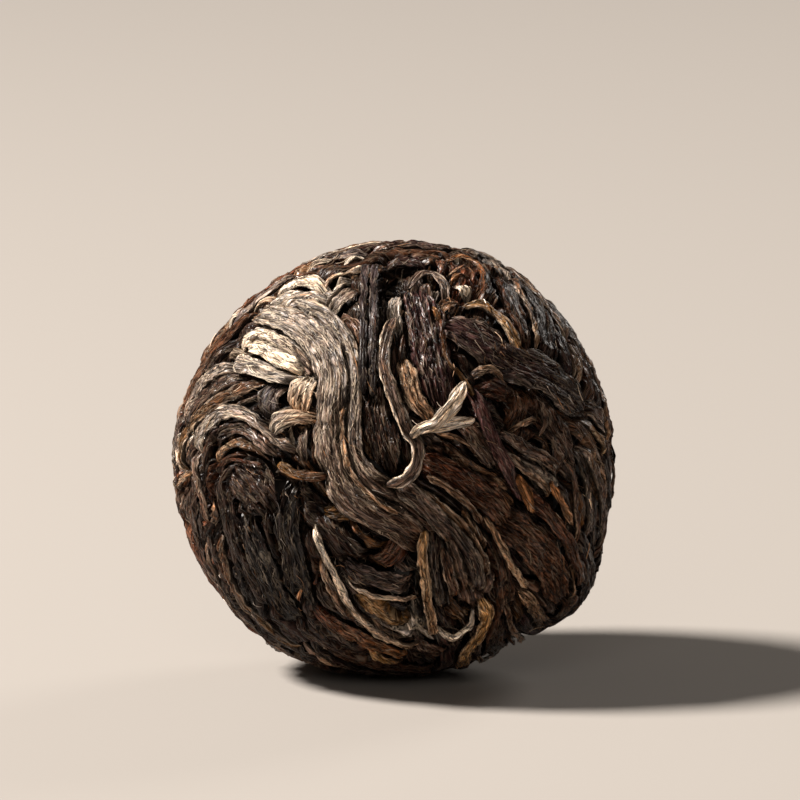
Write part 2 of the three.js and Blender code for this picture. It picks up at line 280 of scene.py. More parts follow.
def duck(depth, rows, columns):
    """Widens what is deep by that many rows and columns, then softens it by as much."""
    for gather in (np.max, np.mean):
        for axis, reach in ((0, rows), (1, columns)):
            ends = [(reach, reach) if k == axis else (0, 0) for k in range(2)]
            padded = np.pad(depth, ends, mode="edge")
            size = depth.shape[axis]
            moved = [np.take(padded, range(k, k + size), axis) for k in range(2 * reach + 1)]
            depth = gather(moved, axis=0)
    return depth


def paint(red, green, blue):
    """A linear colour from one written as red, green and blue from 0 to 255."""
    value = np.array([red, green, blue]) / 255
    return np.where(value <= 0.04045, value / 12.92, ((value + 0.055) / 1.055) ** 2.4)


def lay(pile, points, width, tints, rise=0.0, thick=0.24, most=0.34, tips=(0.3, 0.3), tuck=0.8, flat=3.6,
        ridge=0.08, gap=0.2, pleat=0.04, pleat_gap=0.5, fold=0.1, twist=0.12, crumple=0.14, down=0.5,
        rim=0.0, waist=0.1, torn=0.35, hidden=0.5, fine=1.45):
    """Lays one leaf along directions on the ball, and adds its mesh to a pile of leaves of one kind.

    Tints are its colours at its start and end. Rise lifts it over the ball's outline. Thick is its
    thickness for its width, at most so many millimetres. Tips are the widths of its ends as shares of
    its width, and tuck is how far they dip, in thicknesses. A low flat makes its section rounder. Ridges
    a gap apart run along it, pleats lie like shingles, and twist slants both. Fold is the step where it
    is folded, and crumple the height of its creases. Down is its share of pale fibres and rim its pale
    edge. Waist is how far its width comes and goes, and torn how far its ends are torn, for its width.
    Hidden is how much of each end leaves the map free, for others to cover. Fine sets how many rows and
    columns it has.
    """
    path, along = smooth_path(points, ROW_STEP / fine)
    rows = len(path)
    length = along[-1]
    per_mm = (rows - 1) / length
    columns = max(7, int(width / COLUMN_STEP * fine) + 1)
    per_width = columns / width
    share = along / length
    ahead = unit(np.gradient(path, axis=0))
    side = unit(np.cross(ahead, path))
    flow_places.append(path[::3])
    flow_ways.append(ahead[::3])
    thick = min(most, thick * width)

    def curve(knots, size):
        """A random curve along the leaf, with knots so many millimetres apart."""
        return wander(rows, knots * per_mm, size)

    def patch(long, wide, least=0):
        """Random patches of that length and width in millimetres."""
        return patches(rows, columns, max(least, long * per_mm), wide * per_width)

    end_share = min(LONGEST_END, (END_WIDTHS * width + END_MORE) / length)
    taper = np.ones(rows)
    for tip, place in zip(tips, (share, 1 - share)):
        near = np.clip(place / end_share, 0, 1)
        taper = taper * (tip + (1 - tip) * (near * (2 - near)) ** random.uniform(0.5, 1.2))
    half = width / 2 * taper * (1 + curve(WAIST_LENGTH, waist))
    across = np.linspace(-1, 1, columns)[None, :]
    middle = curve(BEND_LENGTH, BEND * width)[:, None]
    ragged = curve(RAGGED_LENGTH, RAGGED)[:, None] * np.clip(across, 0, 1) ** 2 \
        + curve(RAGGED_LENGTH, RAGGED)[:, None] * np.clip(across, -1, 0) ** 2
    offset = across * half[:, None] + middle + ragged
    teeth = [wander(columns, max(2, TOOTH * per_width), 1) for _ in range(2)]
    missing = torn * width * np.abs(np.stack(teeth))
    reached = along[:, None] + missing[0] * (1 - share[:, None]) ** 4 - missing[1] * share[:, None] ** 4
    reached = np.clip(reached, 0, length)
    line = np.stack([np.interp(reached, along, path[:, k]) for k in range(3)], axis=-1)
    aside = np.stack([np.interp(reached, along, side[:, k]) for k in range(3)], axis=-1)
    directions = unit(line + aside * (offset / BALL_RADIUS)[..., None])
    cells = map_cell(directions)
    ducked = duck(depth_map[cells], max(1, round(DUCK_LENGTH * per_mm)), 1)
    ducked = np.where(ducked > 0.01, ducked + CLEARANCE, ducked)

    # Its section is flattened. Ridges with sharp crests run along it and drift across it.
    drop = CROWN * thick * (1 - np.sqrt(np.maximum(0, 1 - 0.96 * np.abs(across) ** flat)))
    slant = twist * along * random.choice([-1, 1])
    gap = gap * random.uniform(0.8, 1.6)
    valleys = 0
    for spacing, depth_share in ((gap, 1 - FINE_RIDGES), (FINE_GAP * gap, FINE_RIDGES)):
        drift = curve(1.8, 0.35) + slant / spacing + random.random()
        wave = np.abs(np.sin(math.pi * (offset / spacing + drift[:, None] + 0.5 * patch(2.0, 0.35))))
        valleys = valleys + depth_share * wave ** 0.8
    strength = 0.35 + 1.3 * patch(1.6, 0.5)
    drift = curve(2.0, 0.4)[:, None] + 0.7 * patch(1.5, 0.6)
    shingle = (offset / pleat_gap + drift + slant[:, None] / pleat_gap) * random.choice([-1, 1]) % 1.0
    shingle = np.where(shingle < SHINGLE_RISE, shingle / SHINGLE_RISE, (1 - shingle) / (1 - SHINGLE_RISE))
    relief = ridge * strength * valleys + pleat * strength * shingle + RIPPLE * patch(0.9, 0.6)
    fold_line = random.uniform(-0.6, 0.6) + curve(2.5, 0.5)
    past_fold = (across - fold_line[:, None]) * half[:, None]
    step = fold * random.uniform(0.3, 1.3) / (1 + np.exp(-past_fold / FOLD_WIDTH))
    if random.random() < 0.5:
        step = step[:, ::-1]
    edge = random.choice([-1, 1]) * (1 - ROLL_INSET / np.maximum(half, 0.2))[:, None]
    rolled = np.exp(-(((across - edge) * half[:, None]) / ROLL_WIDTH) ** 2)
    rolled = rolled * (0.5 + curve(2, 0.5))[:, None]
    to_end = np.minimum(along, length - along)
    ends = np.exp(-to_end / TUCK_LENGTH)
    dive = DIVE * (hidden > 0) * np.clip(1 - to_end / DIVE_LENGTH, 0, 1) ** 1.5
    depth = ducked + drop + relief + step - ROLL_HEIGHT * rolled - rise
    depth = depth + (tuck * thick * ends + dive)[:, None]
    long, short = CREASE_LENGTHS
    creases = 1 - np.abs(2 * patch(long, 0.45, 2) - 1)
    small = 1 - np.abs(2 * patch(short, 0.25, 1.5) - 1)
    depth = depth + crumple * (creases + SMALL_CREASES * small)
    upper = directions * (ball_radius(directions) - depth)[..., None]

    # The underside is plain, as it never shows. It closes the leaf and sets how deep the next one lies.
    under_across = np.linspace(1, -1, UNDER_COLUMNS + 2)[None, 1:-1]
    under_offset = under_across * half[:, None] + middle
    under_directions = unit(path[:, None, :] + side[:, None, :] * (under_offset / BALL_RADIUS)[..., None])
    hang = thick * (0.55 + 0.45 * np.sqrt(1 - under_across ** 2))
    under_depth = depth.mean(axis=1)[:, None] + hang
    lower = under_directions * (ball_radius(under_directions) - under_depth)[..., None]
    rings = np.concatenate([upper, lower], axis=1)
    rings[..., 2] = np.maximum(rings[..., 2], -MIDDLE_HEIGHT)

    body = depth + thick * np.sqrt(np.maximum(0.05, 1 - across ** 2))
    shown = to_end >= min(hidden, 0.3 * length)
    steps = np.flatnonzero(shown[:-1] & shown[1:])
    between = map_cell(unit(directions[steps] + directions[steps + 1]))
    cells = cells[shown]
    np.maximum.at(depth_map, cells, body[shown])
    np.maximum.at(depth_map, between, (body[steps] + body[steps + 1]) / 2)
    np.minimum.at(top_map, cells[~covered[cells]], depth[shown][~covered[cells]])
    covered[cells] = True
    covered[between] = True

    # Its tint drifts from one end to the other, in long streaks. Painted shade darkens it in its valleys,
    # creases and pleats, at its edges, where it lies deep under others and on its underside.
    start, end = tints
    base = start * (1 - share[:, None, None]) + end * share[:, None, None]
    streak = patch(3.0, 0.12)
    cloud = patch(2.0, 0.5)
    value = (0.68 + 0.6 * streak) * (0.85 + 0.3 * cloud) * (1 + 0.5 * rolled) * (1.15 - 0.4 * shingle)
    shadow = 1 - SHADOW * np.clip(ducked / DEEP, 0, 1)
    value = value * (1.28 - 0.56 * valleys) * shadow
    value = value * (1.05 - 0.25 * creases ** 2)
    value = value * (1 - EDGE_DARK * np.abs(across) ** 8)
    tint = base * value[..., None]
    if rim:
        pale = rim * np.exp(-((1 - np.abs(across)) / RIM_SHARE) ** 2)[..., None]
        tint = tint * (1 - pale) + CREAM * pale * value[..., None]
    # The underside's darker tint is painted shade.
    tint = np.concatenate([tint, np.repeat(base * UNDER_TINT, UNDER_COLUMNS, axis=1)], axis=1)
    bent = offset + HAIR_BEND * patch(1.4, 0.4)
    around = np.concatenate([bent, under_offset + 2 * width], axis=1)
    fibre = np.stack([around, np.repeat(along[:, None], around.shape[1], axis=1)], axis=-1)
    shaded_down = np.full((rows, around.shape[1], 1), 0.4 * down)
    hairy = np.clip(base.mean(axis=-1) / 0.1, 0.5, 1)
    # Fewer pale fibres show in valleys and where it lies deep under others: painted shade.
    shaded_down[:, :columns, 0] = down * hairy * np.clip(1.5 - valleys, 0.4, 1.3) * shadow
    pile.append({
        "points": rings, "tint": np.concatenate([tint, shaded_down], axis=-1), "length": length, "width": width,
        "fibre": fibre + random.uniform(0, FIBRE_SHEET, 2),
    })


def shelves(pile):
    """Where the flattened leaves of a pile lie on a square sheet, in rows of like width, and its side."""
    sizes = [(leaf["length"] + UV_MARGIN, UV_LEAF * leaf["width"] + UV_MARGIN) for leaf in pile]
    sheet_side = max(math.sqrt(sum(long * wide for long, wide in sizes)), max(size[0] for size in sizes))
    order = sorted(range(len(pile)), key=lambda k: -sizes[k][1])
    while True:
        places, along, row_start, row_width = {}, 0, 0, 0
        for k in order:
            if along + sizes[k][0] > sheet_side:
                along, row_start, row_width = 0, row_start + row_width, 0
            places[k] = (along, row_start)
            along += sizes[k][0]
            row_width = max(row_width, sizes[k][1])
        if row_start + row_width <= sheet_side:
            return places, sheet_side
        sheet_side *= 1.04


def join(name, pile, finish):
    """Joins a pile of leaves in one mesh, with their tints, the lie of their fibres and their finish."""
    places, sheet_side = shelves(pile)
    start, points, tints, fibres, loops, totals, flats = 0, [], [], [], [], [], []
    for k, leaf in enumerate(pile):
        rows, ring = leaf["points"].shape[:2]
        number = start + np.arange(rows * ring).reshape(rows, ring)
        after = np.roll(number, -1, axis=1)
        loops.append(np.stack([number[:-1], after[:-1], after[1:], number[1:]], axis=-1).ravel())
        loops.append(number[0][::-1])
        loops.append(number[-1])
        totals.extend([4] * ((rows - 1) * ring) + [ring, ring])
        points.append(leaf["points"].reshape(-1, 3))
        tints.append(leaf["tint"].reshape(-1, 4))
        fibres.append(leaf["fibre"].reshape(-1, 2))
        start += rows * ring
        u = (places[k][0] + leaf["length"] * np.linspace(0, 1, rows)) / sheet_side
        upper = np.linspace(0, UV_UPPER, ring - UNDER_COLUMNS)
        under = np.linspace(UV_UPPER, 1, UNDER_COLUMNS + 2)[1:]
        v = (places[k][1] + UV_LEAF * leaf["width"] * np.concatenate([upper, under])) / sheet_side
        flat = np.stack(np.broadcast_arrays(u[:, None], v[None, :]), axis=-1)
        quads = np.stack([flat[:-1, :-1], flat[:-1, 1:], flat[1:, 1:], flat[1:, :-1]], axis=2)
        flats.append(quads.reshape(-1, 2))
        flats.append(flat[0, :-1][::-1])
        flats.append(flat[-1, :-1])
    mesh = bpy.data.meshes.new(name)
    mesh.vertices.add(start)
    mesh.vertices.foreach_set("co", ((np.concatenate(points) + ball_middle) * MM).ravel())
    loops = np.concatenate(loops)
    mesh.loops.add(len(loops))
    mesh.loops.foreach_set("vertex_index", loops)
    mesh.polygons.add(len(totals))
    mesh.polygons.foreach_set("loop_start", np.concatenate([[0], np.cumsum(totals)[:-1]]))
    mesh.polygons.foreach_set("use_smooth", np.ones(len(totals), bool))
    mesh.uv_layers.new(name="OFBake").data.foreach_set("uv", np.concatenate(flats).ravel())
    tint = mesh.attributes.new("tint", "FLOAT_COLOR", "POINT")
    tint.data.foreach_set("color", np.concatenate(tints).ravel())
    lie = np.column_stack([np.concatenate(fibres), np.zeros(start)])
    mesh.attributes.new("fibre", "FLOAT_VECTOR", "POINT").data.foreach_set("vector", lie.ravel())
    mesh.update(calc_edges=True)
    mesh.materials.append(finish)
    piece = bpy.data.objects.new(name, mesh)
    bpy.context.scene.collection.objects.link(piece)
    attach(piece, "root")
    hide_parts("tea_ball")


def leaf_finish(name, roughness=0.3, gloss=0.55, hairless=0.45, creased=0.7, grained=0.45):
    """Dry leaf: its own tint on fine fibres along it, with painted shade in its creases and pale hairs.

    Hairless is the share of its skin without hairs, creased how dark the painted shade in its creases is,
    and grained how much its crossing hairs vary. Widths, lengths and heights are in millimetres.
    """
    material = bpy.data.materials.new(name)
    material.use_nodes = True
    nodes, links = material.node_tree.nodes, material.node_tree.links
    shader = nodes["Principled BSDF"]
    tint = nodes.new("ShaderNodeAttribute")
    tint.attribute_name = "tint"
    lie = nodes.new("ShaderNodeAttribute")
    lie.attribute_name = "fibre"

    def vector(operation, a, b, c=(0, 0, 0)):
        """A vector sum or product; what isn't a constant is linked."""
        node = nodes.new("ShaderNodeVectorMath")
        node.operation = operation
        for socket, part in zip(node.inputs, (a, b, c)):
            if isinstance(part, tuple):
                socket.default_value = part
            else:
                links.new(part, socket)
        return node.outputs[0]

    def product(a, b, operation="MULTIPLY"):
        node = nodes.new("ShaderNodeMath")
        node.operation = operation
        links.new(a, node.inputs[0])
        links.new(b, node.inputs[1])
        return node.outputs[0]

    def largest(a, b):
        return product(a, b, "MAXIMUM")

    def spread(value, low, high, least, most):
        """A value between low and high, spread over least to most."""
        node = nodes.new("ShaderNodeMapRange")
        for socket, number in zip(("From Min", "From Max", "To Min", "To Max"), (low, high, least, most)):
            node.inputs[socket].default_value = number
        links.new(value, node.inputs["Value"])
        return node.outputs["Result"]

    def noise(width, length, detail):
        """Noise drawn out along the leaf, in patches of that width and length in millimetres."""
        texture = nodes.new("ShaderNodeTexNoise")
        texture.noise_dimensions = "2D"
        texture.inputs["Scale"].default_value = 1
        texture.inputs["Detail"].default_value = detail
        links.new(vector("MULTIPLY", bent, (1 / width, 1 / length, 1)), texture.inputs["Vector"])
        return texture

    bent = lie.outputs["Vector"]
    drift = noise(1.2, 3.0, 1).outputs["Color"]
    bent = vector("MULTIPLY_ADD", drift, (0.4, 0.4, 0), bent)

    def raised(value, height, base=(0, 0, 0)):
        """Adds a value to a relief, so many millimetres high."""
        return vector("MULTIPLY_ADD", value, (height, height, height), base)

    def cells(width, length, turn):
        """Long cells of that width and length, turned from the leaf's way, each with random values."""
        turned = nodes.new("ShaderNodeVectorRotate")
        turned.rotation_type = "Z_AXIS"
        turned.inputs["Angle"].default_value = turn
        links.new(bent, turned.inputs["Vector"])
        texture = nodes.new("ShaderNodeTexVoronoi")
        texture.voronoi_dimensions = "2D"
        texture.inputs["Scale"].default_value = 1
        scaled = vector("MULTIPLY", turned.outputs[0], (1 / width, 1 / length, 1))
        links.new(scaled, texture.inputs["Vector"])
        values = nodes.new("ShaderNodeSeparateColor")
        links.new(texture.outputs["Color"], values.inputs["Color"])
        return values.outputs

    # Straight fibres, hairs that cross them both ways, blotches, and creases along a noise's middle value.
    fibre = cells(0.052, 0.9, 0)
    left_hair = cells(0.05, 0.5, 0.34)
    right_hair = cells(0.05, 0.5, -0.38)
    swell = noise(0.22, 3.0, 2).outputs["Fac"]
    cloud = noise(0.5, 1.0, 2).outputs["Fac"]
    off_middle = nodes.new("ShaderNodeMath")
    off_middle.operation = "ABSOLUTE"
    links.new(spread(noise(0.4, 1.6, 3).outputs["Fac"], 0, 1, -0.5, 0.5), off_middle.inputs[0])
    crease = spread(off_middle.outputs[0], 0.024, 0.06, 1, 0)
    shade = product(spread(left_hair["Red"], 0, 1, 1 - grained, 1 + grained),
                    spread(right_hair["Red"], 0, 1, 1 - grained, 1 + grained))
    shade = product(shade, spread(fibre["Red"], 0, 1, 0.35, 1.65))
    blotches = product(spread(swell, 0.4, 0.6, 0.76, 1.18), spread(cloud, 0.3, 0.7, 0.85, 1.15))
    shade = product(shade, blotches)
    # Painted shade darkens the crease lines.
    shade = product(shade, spread(crease, 0, 1, 1.05, 1 - creased))
    hue = vector("MULTIPLY_ADD", fibre["Blue"], (-0.26, 0.0, 0.3), (1.3, 1.02, 0.85))
    body = nodes.new("ShaderNodeVectorMath")
    body.operation = "SCALE"
    links.new(vector("MULTIPLY", tint.outputs["Color"], hue), body.inputs[0])
    links.new(shade, body.inputs["Scale"])

    # Some fibres and hairs are pale, in patches, and more of them where the leaf has more down.
    # Fewer show where its tint carries painted shade.
    pale = vector("MULTIPLY_ADD", tint.outputs["Color"], (1.7, 1.7, 1.7), (0.34, 0.268, 0.19))
    hairs = largest(spread(left_hair["Green"], 0.88, 0.9, 0, 1),
                    spread(right_hair["Green"], 0.88, 0.9, 0, 1))
    hairs = largest(spread(fibre["Green"], 0.84, 0.88, 0, 1), hairs)
    hairs = product(hairs, spread(cloud, hairless - 0.08, hairless + 0.08, 0.1, 1.0))
    mix = nodes.new("ShaderNodeMix")
    mix.data_type = "RGBA"
    links.new(product(hairs, spread(tint.outputs["Alpha"], 0, 1.0, 0, 1)), mix.inputs["Factor"])
    links.new(body.outputs[0], mix.inputs["A"])
    links.new(pale, mix.inputs["B"])
    links.new(mix.outputs["Result"], shader.inputs["Base Color"])

    # They stand up from the skin, the creases are sunk in it, and the gloss changes from fibre to fibre.
    heights = raised(fibre["Red"], 0.03, raised(swell, 0.12, raised(left_hair["Red"], 0.02)))
    heights = raised(crease, -0.06, raised(hairs, 0.03, heights))
    shine = spread(product(fibre["Red"], spread(swell, 0.4, 0.6, 0.4, 1.2)), 0.1, 0.8, 0.06 * gloss, gloss)
    shine = product(shine, spread(tint.outputs["Alpha"], 0, 0.4, 0.4, 1))
    links.new(shine, shader.inputs["Specular IOR Level"])
    relief = nodes.new("ShaderNodeBump")
    relief.inputs["Strength"].default_value = 1.0
    relief.inputs["Distance"].default_value = MM
    links.new(heights, relief.inputs["Height"])
    links.new(relief.outputs["Normal"], shader.inputs["Normal"])
    shader.inputs["Roughness"].default_value = roughness
    return material


# Colours of dry raw pu-erh: dark leaf and stem, grey-brown and tan leaf, russet leaf, downy silver buds.
BLACK = paint(22, 14, 11)
DARK = paint(43, 28, 20)
PLUM = paint(57, 38, 36)
STONE = paint(64, 56, 55)
BROWN = paint(77, 52, 35)
GREY_BROWN = paint(95, 79, 68)
OLIVE = paint(88, 63, 28)
TAN = paint(138, 110, 82)
GOLD = paint(162, 126, 78)
RUSSET = paint(90, 53, 34)
ORANGE = paint(140, 96, 54)
SILVER = paint(151, 145, 133)
CREAM = paint(204, 194, 173)

strips = []
STRIP = {
    "hidden": 0, "pleat": 0.02, "thick": 0.3, "fold": 0.03, "ridge": 0.05, "down": 0.3, "tuck": 0.2,
    "waist": 0.25, "tips": (0.5, 0.15),
}
for width, rise, tints, *points in [
    (0.75, 0.32, (1.4 * CREAM, 1.4 * CREAM), (1.0, 1.3), (1.7, 1.8), (2.5, 2.1), (3.3, 2.9), (3.9, 3.9),
        (4.2, 4.6)),
    (0.65, 0.26, (1.4 * CREAM, 1.2 * CREAM), (2.0, 1.9), (3.0, 2.0), (3.9, 2.2), (4.8, 2.4)),
    (0.8, 0.14, (ORANGE, 0.8 * ORANGE), (7.3, -1.0), (7.8, -1.9), (8.3, -3.2)),
    (0.55, 0.16, (1.4 * ORANGE, TAN), (9.3, -1.4), (9.9, -2.5), (10.6, -3.9)),
    (0.38, 0.15, (TAN, TAN), (2.6, 1.7), (3.7, 1.3), (4.6, 0.7)),
]:
    lay(strips, route(*points), width, tints, rise, **STRIP)
pale_skin = leaf_finish("pale_skin", 0.5, hairless=0.6, creased=0.4, grained=0.2)
join("torn_strips", strips, pale_skin)

# Stems are thin and hard: the dark pair that stands over the middle, the vein that runs down to the
# right and turns into a broader band, and a brown stick on the left.
stems = []
STEM = {
    "thick": 0.8, "hidden": 0, "pleat": 0.0, "crumple": 0.02, "torn": 0.1, "fold": 0.0, "ridge": 0.06,
    "gap": 0.2, "twist": 0.02, "waist": 0.04, "down": 0.45,
}
for width, rise, tips, tints, *points in [
    (0.46, 0.34, (0.9, 0.6), (STONE, BLACK), (-1.7, 11.7), (-1.74, 7.7), (-1.82, 3.9)),
    (0.48, 0.34, (0.9, 0.6), (STONE, BLACK), (-1.16, 11.7), (-1.2, 7.7), (-1.3, 3.8)),
    (0.3, 0.18, (0.4, 0.9), (0.6 * RUSSET, OLIVE), (2.8, 8.3), (2.9, 7.1), (3.2, 5.8), (4.0, 4.9),
        (4.7, 3.8)),
    (0.9, 0.32, (0.6, 0.3), (2.0 * PLUM, 1.7 * PLUM), (4.5, 4.2), (5.0, 3.0), (5.6, 1.5), (6.3, 0.0),
        (7.0, -1.3), (7.7, -2.5)),
    (0.7, 0.06, (0.4, 0.5), (OLIVE, BROWN), (-7.0, -0.3), (-5.8, -0.9), (-4.1, -1.0)),
    (0.22, 0.02, (0.3, 0.5), (0.6 * RUSSET, 0.6 * RUSSET), (-9.9, 0.0), (-9.0, -0.1), (-8.0, -0.3)),
]:
    lay(stems, route(*points), width, tints, rise, tips=tips, **STEM)
join("thin_stems", stems, leaf_finish("stem_skin", 0.35, creased=0.4))

# Downy buds are unopened leaf tips, fat, pale and covered in fine hair. They were dried whole, and most of
# them lie high on the left.
buds = []
BUD = {
    "hidden": 0.3, "crumple": 0.05, "pleat": 0.03, "pleat_gap": 0.4, "torn": 0.2, "thick": 0.32,
    "most": 0.5, "ridge": 0.08, "gap": 0.3, "fold": 0.08, "down": 0.9, "tuck": 0.5, "flat": 2.4,
    "twist": 0.12,
}
for width, rise, tips, tints, *points in [
    (1.75, 0.22, (0.55, 0.4), (1.1 * TAN, 0.75 * CREAM), (-5.9, 2.8), (-5.5, 4.0), (-5.1, 5.1)),
    (1.4, 0.2, (0.3, 0.6), (SILVER, TAN), (-7.6, 1.6), (-6.7, 2.4), (-5.7, 2.7), (-4.5, 2.6)),
    (1.0, 0.18, (0.3, 0.5), (CREAM, CREAM), (-9.0, 6.8), (-7.9, 6.6), (-6.8, 6.0), (-5.6, 5.3)),
    (1.1, 0.14, (0.4, 0.6), (CREAM, GREY_BROWN), (-9.5, 6.9), (-8.7, 7.4), (-7.7, 7.4), (-6.4, 6.6),
        (-5.0, 5.4)),
    (1.2, 0.1, (0.3, 0.5), (SILVER, SILVER), (-10.0, 5.9), (-8.5, 5.6), (-7.0, 5.2), (-5.5, 5.0)),
    (0.8, 0.05, (0.2, 0.6), (OLIVE, CREAM), (-10.3, 6.3), (-9.5, 6.6), (-8.9, 7.0)),
    (0.8, 0.02, (0.3, 0.3), (SILVER, CREAM), (-3.2, 12.1), (-2.4, 12.4), (-1.7, 12.5)),
    (0.7, 0.08, (0.4, 0.4), (CREAM, TAN), (-8.8, 9.2), (-8.1, 9.6), (-7.2, 10.0)),
    (0.6, 0.05, (0.2, 0.2), (SILVER, SILVER), (-10.4, 8.0), (-9.7, 8.9), (-9.0, 9.5)),
    (0.9, 0.04, (0.5, 0.4), (TAN, SILVER), (-5.7, 11.75), (-4.8, 12.15), (-3.8, 12.5)),
]:
    lay(buds, route(*points), width, tints, rise, tips=tips, **BUD)
bud_down = leaf_finish("bud_down", 0.7, 0.3, hairless=0.35, creased=0.6, grained=0.3)
join("downy_buds", buds, bud_down)

